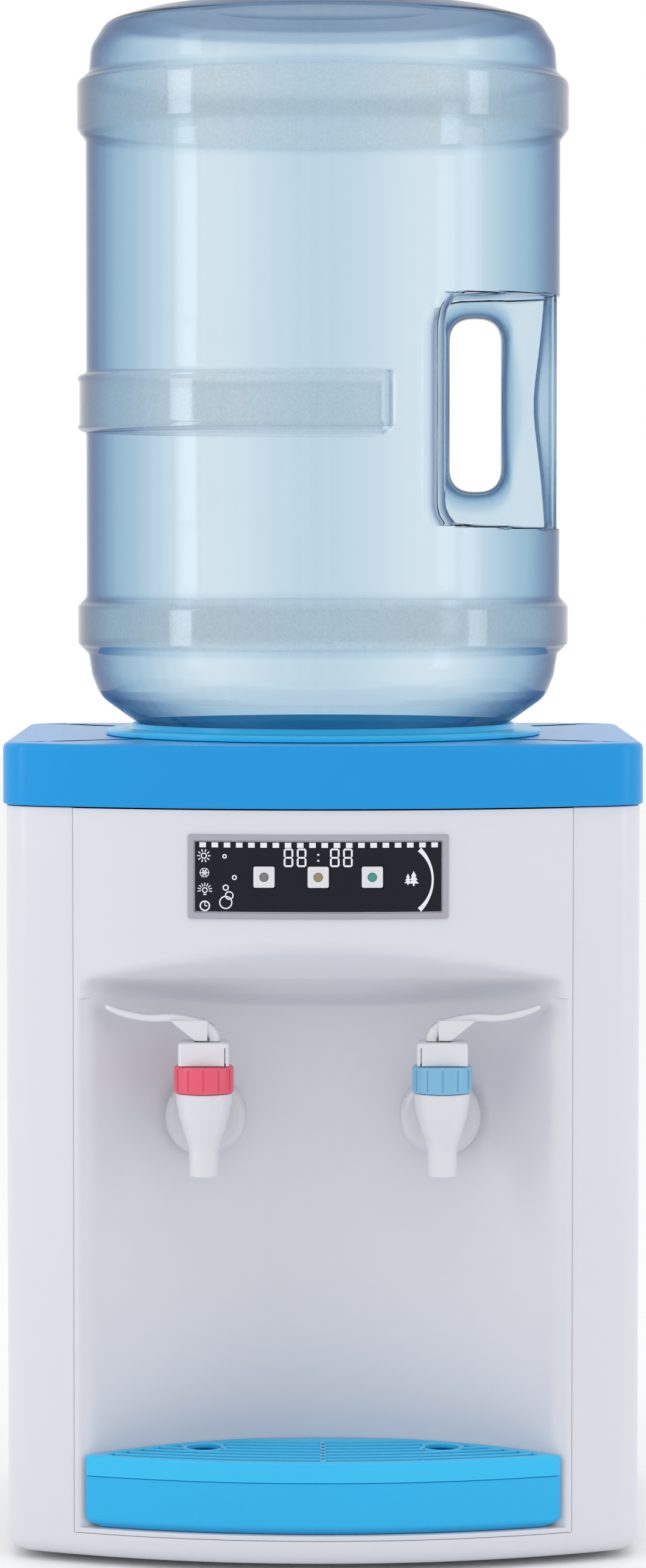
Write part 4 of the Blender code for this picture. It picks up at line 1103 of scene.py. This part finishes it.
def lensPlan(half, back, frontInset, count=48):
    # the back arc from right to left, then the bowed front from left to right
    frontEnd = bowY(half, frontInset)
    depth = back - frontEnd
    radius = (half * half + depth * depth) / (2 * depth)
    reach = math.asin(half / radius)
    plan = []
    for step in range(count + 1):
        angle = math.pi / 2 - reach + 2 * reach * step / count
        plan.append((radius * math.cos(angle), back - radius + radius * math.sin(angle)))
    plan += [(-half + 2 * half * step / count, bowY(-half + 2 * half * step / count, frontInset))
             for step in range(1, count)]
    return plan


def lensRing(inset, z, side=1.0, frontInset=0.0004):
    return [(x, y, z) for x, y in lensPlan(trayHalf - inset * side, trayHigh.y - inset, frontInset + inset)]


def makeTray():
    low, high, wall = trayLow.z, trayHigh.z, tray["wall"]
    steps = [(0.0150, low), (0.0040, low, 0.001), (0.0000, low + 0.0040, 0.003), (0.0000, high, 0.0008),
             (wall, high, 0.0006), (wall, low + wall + 0.0030, 0.003), (wall + 0.0040, low + wall, 0.002),
             (0.0150, low + wall)]
    line = roundedLine(steps, 5)
    rings = [lensRing(inset, z, 2.2) for inset, z in line]
    points, faces = skin(rings)
    count = len(rings[0])
    faces.append(tuple(range(count)))
    faces.append(tuple(range(len(points) - count, len(points))))
    item = makeObject("drip_tray_pan", (points, faces))
    settle(item, trayBlue, "drip_tray", "tray_blue", "drip_tray")


def trayEdge(x, inset):
    # depth of the grille's rear edge at x
    half = trayHalf - 0.0055
    back = trayHigh.y - inset
    start = bowY(half)
    depth = back - start
    radius = (half * half + depth * depth) / (2 * depth)
    return back - radius + math.sqrt(max(radius * radius - x * x, 0))


def slatPath(near, openEnd):
    # a curved line beside the front edge, broken where the rings stand
    ringX, ringY, ringOuter, ringInner = tray["ring"]
    middle = (ringOuter + ringInner) / 2
    lines, line = [], []
    for step in range(161):
        x = openEnd * (step / 80 - 1)
        y = bowY(x) + near
        inRing = any(math.hypot(x - side * ringX, y - ringY) < middle for side in (-1, 1))
        if inRing or y > trayEdge(x, 0.0022):
            if len(line) > 1:
                lines.append(line)
            line = []
        else:
            line.append((x, y))
    if len(line) > 1:
        lines.append(line)
    return lines


def makeGrille():
    top, low = grilleHigh.z, grilleLow.z
    pitch = tray["slat"] + tray["slot"]
    span = tray["firstSlot"] + tray["rows"] * pitch - tray["slat"]
    openEnd = trayHalf - 0.012
    while bowY(openEnd) + tray["firstSlot"] > trayEdge(openEnd, 0.0036):
        openEnd -= 0.0005
    count = 48
    outer = lensPlan(trayHalf, trayHigh.y, 0.0002, count)
    opening = []
    for step in range(count + 1):
        x = openEnd * math.cos(math.pi * step / count)
        opening.append((x, max(min(trayEdge(x, 0.0036), bowY(x) + span), bowY(x) + tray["firstSlot"])))
    for step in range(1, count):
        x = -openEnd * math.cos(math.pi * step / count)
        opening.append((x, bowY(x) + tray["firstSlot"]))
    rings = []
    soft = tray["soft"]
    under = top - tray["slatHigh"]
    innerSkirt = lensPlan(trayHalf - 0.0050, trayHigh.y - 0.0022, 0.0027, count)
    section = [(0.0, low), (0.0, top - soft * 2), (0.02, top - soft * 0.7), (0.07, top - soft * 0.1),
               (0.13, top), (0.90, top), (0.97, top - 0.0002), (1.0, top - 0.0006), (1.0, under)]
    for share, z in section:
        rings.append([(*(Vector(a).lerp(Vector(b), share)), z) for a, b in zip(outer, opening)])
    rings.append([(x, y, under) for x, y in innerSkirt])
    rings.append([(x, y, low) for x, y in innerSkirt])
    item = makeObject("tray_grille_rim", skin(rings, joined=True))
    settle(item, grilleBlue, "tray_grille", "tray_blue", "tray_grille", crease=50)

    # slats, middle rib and rings are one profile swept along their lines
    lines = []
    for row in range(1, tray["rows"]):
        lines += slatPath(tray["firstSlot"] + row * pitch - tray["slat"] / 2, openEnd + 0.004)
    lines.append([(0, bowY(0) + tray["firstSlot"] - 0.003 + step * 0.004) for step in range(18)])
    ringX, ringY, ringOuter, ringInner = tray["ring"]
    rim = (ringOuter + ringInner) / 2
    for side in (-1, 1):
        lines.append([(side * ringX + rim * math.cos(math.tau * step / 48),
                       ringY + rim * math.sin(math.tau * step / 48)) for step in range(49)])
    bm = bmesh.new()
    for line in lines:
        closed = (Vector(line[0]) - Vector(line[-1])).length < 1e-6
        kept = line[:-1] if closed else line
        corners = [bm.verts.new((x, y, top - tray["slatHigh"] / 2)) for x, y in kept]
        for first, second in zip(corners, corners[1:] + corners[:1] if closed else corners[1:]):
            bm.edges.new((first, second))
    mesh = bpy.data.meshes.new("grille_slats")
    bm.to_mesh(mesh)
    bm.free()
    slats = bpy.data.objects.new("grille_slats", mesh)
    bpy.context.scene.collection.objects.link(slats)
    sizes = {"Wide": tray["slat"], "High": tray["slatHigh"] - 0.0002, "Rounding": 0.0006}
    tree, value = startTree("slatSweep", sizes)
    entry = tree.nodes["Group Input"]
    path = addNode(tree, "GeometryNodeMeshToCurve", inputs={0: Wire(entry.outputs["Geometry"])})
    upright = addNode(tree, "GeometryNodeSetCurveNormal", {"mode": "Z_UP"}, {0: path})
    section = addNode(tree, "GeometryNodeCurvePrimitiveQuadrilateral", inputs={
        "Width": value["Wide"], "Height": value["High"]})
    soft = addNode(tree, "GeometryNodeFilletCurve", {"mode": "POLY"}, {
        "Curve": section, "Radius": value["Rounding"], "Count": 3})
    swept = addNode(tree, "GeometryNodeCurveToMesh", inputs={
        "Curve": upright, "Profile Curve": soft, "Fill Caps": True})
    endTree(tree, swept, grilleBlue)
    runTree(slats, tree, sizes)
    settle(slats, grilleBlue, "tray_grille", "tray_blue", crease=40)


makeTray()
makeGrille()
print("tray and grille made")

# Upturned bottle: moulded body with bands, a pocket with a handle bar, and its cap
bottle = {
    "wall": 0.0018,
    "body": 0.1290,
    "band": 0.1337,
    "wallSwing": 0.30,  # share by which the blown wall is thicker and thinner round the body
    "refraction": 1.04,  # near air, so that light crosses the thin wall straight
    "gloss": 0.35,
    "absorption": 180.0,
    "tintLoss": (136.0, 82.0, 52.0),  # light lost in each metre of wall, red, green and blue
    "frostColour": (0.84, 0.87, 0.89),
    # painted edge shade: darkening against how far a wall is turned away from the eye
    "paintedEdgeShade": [(0.50, (1, 1, 1)), (0.65, (0.67, 0.70, 0.80)), (0.77, (0.43, 0.45, 0.60)),
                 (0.88, (0.35, 0.37, 0.50))],
    "frostRough": 0.32,
    "middleBand": (0.5970, 0.6305),
    "bandEnds": 73.5,  # degrees from the handle
    "panelInset": 0.0042,
    "pocketX": 0.0645,
    "pocketLow": 0.5450,
    "pocketHigh": 0.6720,
    "pocketRound": 0.016,
    "hole": (0.0690, 0.0970, 0.5655, 0.6594),
    "pocketThin": 0.45,  # share of the wall's thickness left in the pocket
    "pocketBlend": 0.016,
    "barHalf": 0.0270,
    "barRound": 0.0200,
    "barFlat": 0.60,
    "barRoot": 0.0280,  # how far the plate runs on inside the body
    "barEnds": 0.0400,
}
bottleClear = clearFinish("tintedClearBottle")
capBlue = plastic("blueBottleCap", (0.03, 0.16, 0.50), 0.40, 0.06, 900, 0.05)
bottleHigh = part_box("bottle")[1]


def bottleLine(shrink):
    body, band = bottle["body"], bottle["band"]
    top = bottleHigh.z
    line = [(0.0, top), (0.0620, top - 0.0005, 0.05), (0.0980, top - 0.0035, 0.03),
            (0.1180, top - 0.0095, 0.012),
            (0.1262, top - 0.0230, 0.014), (0.1272, 0.7925, 0.004), (band - 0.0006, 0.7875, 0.003),
            (band, 0.7850, 0.002), (band, 0.7620, 0.003), (body, 0.7560, 0.004), (body, 0.5085, 0.004),
            (band, 0.5035, 0.003), (band, 0.4830, 0.003), (0.1280, 0.4775, 0.004), (0.1262, 0.4660, 0.012),
            (0.1215, 0.4540, 0.016), (0.1034, 0.4412, 0.012), (0.0930, 0.4345, 0.010),
            (0.0640, 0.4165, 0.02),
            (0.0400, 0.4000, 0.012), (0.0285, 0.3885, 0.008), (0.0275, 0.3780, 0.006), (0.0275, 0.3372)]
    smooth = [Vector((0.0, top))] + roundedLine(line, 5)[1:]
    moved = []
    for index, point in enumerate(smooth):
        run = smooth[min(index + 1, len(smooth) - 1)] - smooth[max(index - 1, 0)]
        side = Vector((-run.y, run.x)).normalized() if run.length else Vector((0, 0))
        moved.append(point - side * shrink if index else Vector((0.0, top - shrink)))
    return moved


def padAt(degrees, z):
    # raised middle band with rounded ends and an inset panel
    low, high = bottle["middleBand"]
    along = (degrees - bottle["bandEnds"]) * math.radians(1) * bottle["band"]
    across = (high - low) / 2 - abs(z - (low + high) / 2)
    corner = 0.006
    edge = min(along, across)
    if along < corner and across < corner:
        edge = corner - math.hypot(corner - along, corner - across)
    raised = smoothStep(edge, 0, 0.0026)
    dished = smoothStep(edge, bottle["panelInset"], bottle["panelInset"] + 0.0012)
    return (bottle["band"] - bottle["body"]) * raised - 0.0009 * dished


def pocketReach(degrees, z, shrink):
    # distance from the axis to the pocket's back wall, which turns out to the body at both ends
    shrink *= bottle["pocketThin"]
    edge = min(z - bottle["pocketLow"], bottle["pocketHigh"] - z) + shrink
    if degrees > 80 or edge < 0:
        return 9.0
    turn = bottle["pocketRound"]
    lean = max(turn - edge, 0)
    rise = turn - math.sqrt(turn * turn - min(lean, turn * 0.97) ** 2)
    rise += max(lean - turn * 0.80, 0) * 28
    return (bottle["pocketX"] - shrink + rise) / math.cos(math.radians(degrees))


def bottleSkin(shrink, sides):
    spread = []
    line = bottleLine(shrink)
    for first, second in zip(line, line[1:]):
        steps = [first.y]
        while steps[-1] > second.y and first.y < 0.76 and second.y > 0.50:
            fine = min(abs(steps[-1] - bottle["pocketLow"]), abs(steps[-1] - bottle["pocketHigh"])) < 0.007
            middle = bottle["middleBand"][0] - 0.004 < steps[-1] < bottle["middleBand"][1] + 0.004
            steps.append(steps[-1] - (0.0008 if fine else 0.0012 if middle else 0.004))
        if len(steps) > 1:
            table = [(-first.y, first.x), (-second.y, second.x)]
            spread += [Vector((throughPoints(table, -y), y)) for y in steps[:-1]]
        else:
            spread.append(first)
    spread.append(line[-1])
    if shrink:
        spread[-1].y -= 0.012
    turns = [side * angle for side in (-1, 1) for angle in sides]
    turns = sorted({round(turn, 4) for turn in turns if turn < 179.99})
    rings = []
    for radius, z in spread[1:]:
        ring = []
        for turn in turns:
            degrees = abs(turn)
            angle = math.radians(turn)
            reach = radius
            if radius > 0.12:
                reach -= shrink * bottle["wallSwing"] * math.cos(6 * (angle + math.pi / 2))
            if 0.59 < z < 0.64:
                reach += padAt(degrees, z) * (1 if radius > 0.1 else 0)
            if 0.52 < z < 0.70:
                reach = smoothMin(reach, pocketReach(degrees, z, shrink), bottle["pocketBlend"])
            ring.append((reach * math.cos(angle), reach * math.sin(angle), z))
        rings.append(ring)
    return skin(rings, capped=True)


def handleBar(shrink):
    # a thick plate round the finger hole, its outer face following the bottle
    xLow, xHigh, zLow, zHigh = bottle["hole"]
    hole = roundedBox((xLow - shrink, zLow - shrink), (xHigh + shrink, zHigh + shrink), 0.013 + shrink, 8)
    centre = Vector(((xLow + xHigh) / 2, (zLow + zHigh) / 2))
    reach = bottle["body"] - 0.0004 - shrink
    half = bottle["barHalf"] - shrink
    turn = bottle["barRound"]
    rings = []
    for inner in denseOutline(hole, 0.004):
        away = inner - centre
        frameX = reach - centre.x if away.x > 0 else centre.x - xLow + bottle["barRoot"]
        frameZ = (zHigh - zLow) / 2 + bottle["barEnds"]
        outer = centre + away * min(frameX / max(abs(away.x), 1e-6), frameZ / max(abs(away.y), 1e-6))
        out = away.normalized() * turn * bottle["barFlat"]
        section = []
        for step in range(9):
            angle = math.pi / 2 * step / 8
            section.append((inner + out * (1 - math.cos(angle)), half - turn * (1 - math.sin(angle))))
        for step in range(9):
            angle = math.pi / 2 * step / 8
            section.append((outer - out * (1 - math.cos(angle)), half - turn * (1 - math.cos(angle))))
        ring = []
        for side in (1, -1):
            for place, y in (section if side > 0 else reversed(section)):
                limit = math.sqrt(reach * reach - y * y)
                ring.append((min(place.x, limit) if place.x > xHigh else place.x, side * y, place.y))
        rings.append(ring)
    return skin(rings, joined=True)


def makeBottle():
    fine = stops((0, 84, 1.5), (84, 180, 4))
    coarse = stops((0, 84, 2), (84, 180, 5))
    outer = makeObject("bottle_moulded", bottleSkin(0, fine))
    combine(outer, makeObject("bar", handleBar(0)), "UNION")
    inner = makeObject("inside", bottleSkin(bottle["wall"], coarse))
    combine(inner, makeObject("bar", handleBar(bottle["wall"])), "UNION")
    combine(outer, inner, "DIFFERENCE")
    settle(outer, bottleClear, "bottle", "bottle_plastic", "bottle", crease=40)
    low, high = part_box("bottle_cap")
    outside = high.x
    profile = [(0.0278, high.z), (outside, high.z, 0.0008), (outside, low.z, 0.0015),
               (0.0110, low.z, 0.0006),
               (0.0110, low.z + 0.0025, 0.0006), (0.0278, low.z + 0.0025), (0.0278, high.z)]
    item = makeObject("bottle_cap_moulded", turnedSkin(roundedLine(profile, 4)[:-1], 72))
    settle(item, capBlue, "bottle", "cap_blue", "bottle_cap")


makeBottle()
print("bottle made")

# Rear cover with louvres and screws, and finishes for what stays from the frame
rear = {
    "colour": (0.62, 0.62, 0.66),
    "fan": (0.060, 0.2400),
    "fanRows": 9,
    "fanPitch": 0.008,
    "fanHalf": 0.034,
    "lowRows": 6,
    "lowPitch": 0.010,
    "lowSpan": (-0.110, -0.040),
    "lowStart": 0.090,
    "slotHalf": 0.0018,
    "screws": [(x, z) for x in (-0.142, 0.142) for z in (0.035, 0.385)],
}


def makeRearCover():
    outlines = [roundedBox((rearLow.x, rearLow.z), (rearHigh.x, rearHigh.z), 0.003, 4)]
    half = rear["slotHalf"]
    fanX, fanZ = rear["fan"]
    for row in range(rear["fanRows"]):
        z = fanZ + (row - (rear["fanRows"] - 1) / 2) * rear["fanPitch"]
        low, high = (fanX - rear["fanHalf"], z - half), (fanX + rear["fanHalf"], z + half)
        outlines.append(roundedBox(low, high, half * 0.95, 4))
    for row in range(rear["lowRows"]):
        z = rear["lowStart"] + row * rear["lowPitch"]
        low, high = (rear["lowSpan"][0], z - half), (rear["lowSpan"][1], z + half)
        outlines.append(roundedBox(low, high, half * 0.95, 4))
    for node in ("hot_switch", "cold_switch"):
        low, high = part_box(node)
        opening = (low.x - 0.0005, low.z - 0.0010), (high.x + 0.0005, high.z + 0.0010)
        outlines.append(roundedBox(*opening, 0.0008, 3))
    low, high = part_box("power_inlet")
    opening = (low.x + 0.0025, low.z + 0.0025), (high.x - 0.0025, high.z - 0.0025)
    outlines.append(roundedBox(*opening, 0.002, 3))
    low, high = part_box("drain_plug")
    centre = Vector(((low.x + high.x) / 2, (low.z + high.z) / 2))
    holes = [(centre, 0.0066)] + [(Vector(place), 0.0019) for place in rear["screws"]]
    for middle, radius in holes:
        turns = [math.tau * step / 24 for step in range(24)]
        outlines.append([middle + Vector((math.cos(turn), math.sin(turn))) * radius for turn in turns])
    curve = bpy.data.curves.new("rear_outline", "CURVE")
    curve.dimensions = "2D"
    curve.fill_mode = "BOTH"
    soft = 0.0005
    curve.extrude = cabinet["wall"] / 2 - soft
    curve.bevel_depth = soft
    curve.bevel_resolution = 2
    curve.offset = -soft
    for outline in outlines:
        spline = curve.splines.new("POLY")
        spline.points.add(len(outline) - 1)
        for point, place in zip(spline.points, outline):
            point.co = (place.x, place.y, 0, 1)
        spline.use_cyclic_u = True
    guide = bpy.data.objects.new("rear_guide", curve)
    bpy.context.scene.collection.objects.link(guide)
    bpy.context.view_layer.update()
    mesh = bpy.data.meshes.new_from_object(guide.evaluated_get(bpy.context.evaluated_depsgraph_get()))
    bpy.data.objects.remove(guide, do_unlink=True)
    turn = Matrix.Translation((0, (rearLow.y + rearHigh.y) / 2, 0))
    turn = turn @ Matrix.Rotation(math.radians(90), 4, "X")
    shape = ([tuple(v.co) for v in mesh.vertices], [tuple(face.vertices) for face in mesh.polygons])
    item = makeObject("rear_cover_plate", shape, turn, weld=1e-5)
    settle(item, rearWhite, "cabinet", "white_plastic", "rear_cover")

    # low ribs over each slot, made by one tree for both groups
    fanSpan = (fanX - rear["fanHalf"], fanX + rear["fanHalf"])
    fanStart = fanZ - (rear["fanRows"] - 1) / 2 * rear["fanPitch"]
    for name, rows, pitch, span, start in (
            ("fan_louvres", rear["fanRows"], rear["fanPitch"], fanSpan, fanStart),
            ("low_louvres", rear["lowRows"], rear["lowPitch"], rear["lowSpan"], rear["lowStart"])):
        sizes = {"Rows": rows, "Pitch": pitch, "Long": span[1] - span[0] + 0.003, "High": 0.0012,
                 "Deep": 0.0010}
        tree, value = startTree(name + "Tree", sizes)
        size = addNode(tree, "ShaderNodeCombineXYZ", inputs={
            0: value["Long"], 1: value["Deep"], 2: value["High"]})
        hood = addNode(tree, "GeometryNodeMeshCube", inputs={0: size})
        step = addNode(tree, "ShaderNodeCombineXYZ", inputs={2: value["Pitch"]})
        line = addNode(tree, "GeometryNodeMeshLine", inputs={"Count": value["Rows"], "Offset": step})
        hoods = addNode(tree, "GeometryNodeInstanceOnPoints", inputs={"Points": line, "Instance": hood})
        endTree(tree, hoods, rearWhite)
        item = makeObject(name, ([], []))
        runTree(item, tree, sizes)
        offset = Vector(((span[0] + span[1]) / 2, rearHigh.y + 0.0005, start + rear["slotHalf"] + 0.0008))
        item.data.transform(Matrix.Translation(offset))
        softenEdges(item, 0.0003, 40, 2)
        bakeModifiers(item)
        settle(item, rearWhite, "cabinet", "white_plastic")

    # screws with a cross slot
    screwLow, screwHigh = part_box("cover_screw_1")
    radius = (screwHigh.x - screwLow.x) / 2
    deep = screwHigh.y - rearHigh.y
    profile = [(0, deep), (radius * 0.55, deep - 0.0001, 0.001), (radius * 0.95, deep - 0.0011, 0.0006),
               (radius, 0.0003), (0.0015, 0.0003), (0.0015, -0.0100), (0, -0.0110)]
    head = makeObject("screw_head", turnedSkin(roundedLine(profile, 4), 32, False))
    for width, length in ((0.0007, 0.0036), (0.0036, 0.0007)):
        outline = roundedBox((-width / 2, -length / 2), (width / 2, length / 2), 0.0002, 2)
        slot = [[(u, v, z) for u, v in outline] for z in (deep - 0.0009, deep + 0.002)]
        combine(head, makeObject("cut", skin(slot, capped=True)), "DIFFERENCE")
    head.data.transform(Matrix.Rotation(math.radians(-90), 4, "X"))
    sizes = {"Turn": 0.6}
    tree, value = startTree("screwsTree", sizes)
    entry = tree.nodes["Group Input"]
    info = addNode(tree, "GeometryNodeObjectInfo", inputs={"Object": head}, output=4)
    number = addNode(tree, "GeometryNodeInputIndex")
    turn = addNode(tree, "ShaderNodeCombineXYZ", inputs={1: number * value["Turn"]})
    screws = addNode(tree, "GeometryNodeInstanceOnPoints", inputs={
        "Points": Wire(entry.outputs["Geometry"]), "Instance": info, "Rotation": turn})
    endTree(tree, screws, steel)
    places = makeObject("cover_screws", ([(x, rearHigh.y, z) for x, z in rear["screws"]], []))
    runTree(places, tree, sizes)
    bpy.data.objects.remove(head, do_unlink=True)
    nodes = [f"cover_screw_{number}" for number in (1, 2, 3, 4)]
    settle(places, steel, "cabinet", "steel", *nodes)


rearWhite = plastic("satinWhiteRear", rear["colour"], 0.42, 0.03, 900, 0.10, 0.08)
steel = metal("brushedSteel", (0.60, 0.60, 0.61), 0.28)
makeRearCover()
print("rear cover made")

carried = {
    "white_plastic": rearWhite,
    "steel": steel,
    "aluminium": metal("finnedAluminium", (0.72, 0.73, 0.74), 0.38, (1, 1, 9)),
    "black_plastic": plastic("mattBlackPlastic", (0.025, 0.025, 0.027), 0.48, 0.12, 800, 0.12, 0.12),
    "circuit_board": boardFinish("circuitBoard"),
    "foam": cellular("openFoam", (0.75, 0.73, 0.66), 700, 0.6, 0.9),
    "silicone": plastic("milkySilicone", (0.72, 0.74, 0.74), 0.45, 0.05, 600, 0.05, 0.1),
    "rubber": cellular("dustyRubber", (0.024, 0.024, 0.025), 1800, 0.3, 0.75),
    "switch_red": plastic("redRocker", (0.55, 0.03, 0.03), 0.30, 0.06, 1200, 0.03, 0.08, coat=0.2),
    "switch_green": plastic("greenRocker", (0.03, 0.35, 0.10), 0.30, 0.06, 1200, 0.03, 0.08, coat=0.2),
    "ceramic": cellular("ceramicModule", (0.85, 0.85, 0.83), 1500, 0.2, 0.5),
}
slotOf = {row["node"]: row["material_slot"] for row in frame["record"]["subparts"]}
for name, item in frame["nodes"].items():
    if not item.hide_render:
        item.data.materials.clear()
        item.data.materials.append(carried[slotOf[name]])

# Floor, soft light and camera
studio = {
    "floor": (0.93, 0.93, 0.935),
    "sky": (1.0, 1.0, 1.0),
    "skyStrength": 1.0,
    "lensAngleLong": 2576 / 8410.4,
    "eye": (0.0, -2.80, 0.5525),
    "down": 3.0,
}


def makeStudio():
    bm = bmesh.new()
    bmesh.ops.create_grid(bm, x_segments=24, y_segments=24, size=9)
    mesh = bpy.data.meshes.new("studio_floor")
    bm.to_mesh(mesh)
    bm.free()
    floor = bpy.data.objects.new("studio_floor", mesh)
    bpy.context.scene.collection.objects.link(floor)
    mesh.materials.append(plastic("paleFloor", studio["floor"], 0.7, 0.01, 60, 0.02, 0.05, shine=0.2))

    world = bpy.data.worlds.new("softSky")
    bpy.context.scene.world = world
    world.use_nodes = True
    back = world.node_tree.nodes["Background"]
    back.inputs["Color"].default_value = (*studio["sky"], 1)
    back.inputs["Strength"].default_value = studio["skyStrength"]

    for name, place, wide, high, power, colour in (
            ("keyLight", (-1.7, -0.7, 0.9), 0.4, 1.3, 4.5, (1, 0.99, 0.98)),
            ("fillLight", (1.8, -0.5, 0.8), 0.35, 1.2, 3, (0.95, 0.97, 1)),
            ("topLight", (0.0, -0.3, 2.2), 1.2, 1.2, 2, (0.98, 0.99, 1))):
        lamp = bpy.data.lights.new(name, "AREA")
        lamp.shape = "RECTANGLE"
        lamp.size = wide
        lamp.size_y = high
        lamp.energy = power
        lamp.color = colour
        holder = bpy.data.objects.new(name, lamp)
        holder.location = place
        aim = Vector((0, 0, 0.4)) - Vector(place)
        holder.rotation_mode = "QUATERNION"
        holder.rotation_quaternion = aim.to_track_quat("-Z", "Y")
        bpy.context.scene.collection.objects.link(holder)

    eye = bpy.data.cameras.new("eye")
    eye.sensor_width = 36
    eye.lens = 36 / studio["lensAngleLong"]
    holder = bpy.data.objects.new("eye", eye)
    holder.location = studio["eye"]
    holder.rotation_euler = (math.radians(90 - studio["down"]), 0, 0)
    bpy.context.scene.collection.objects.link(holder)
    bpy.context.scene.camera = holder
    bpy.context.scene.view_settings.view_transform = "Standard"


makeStudio()
print("studio ready")
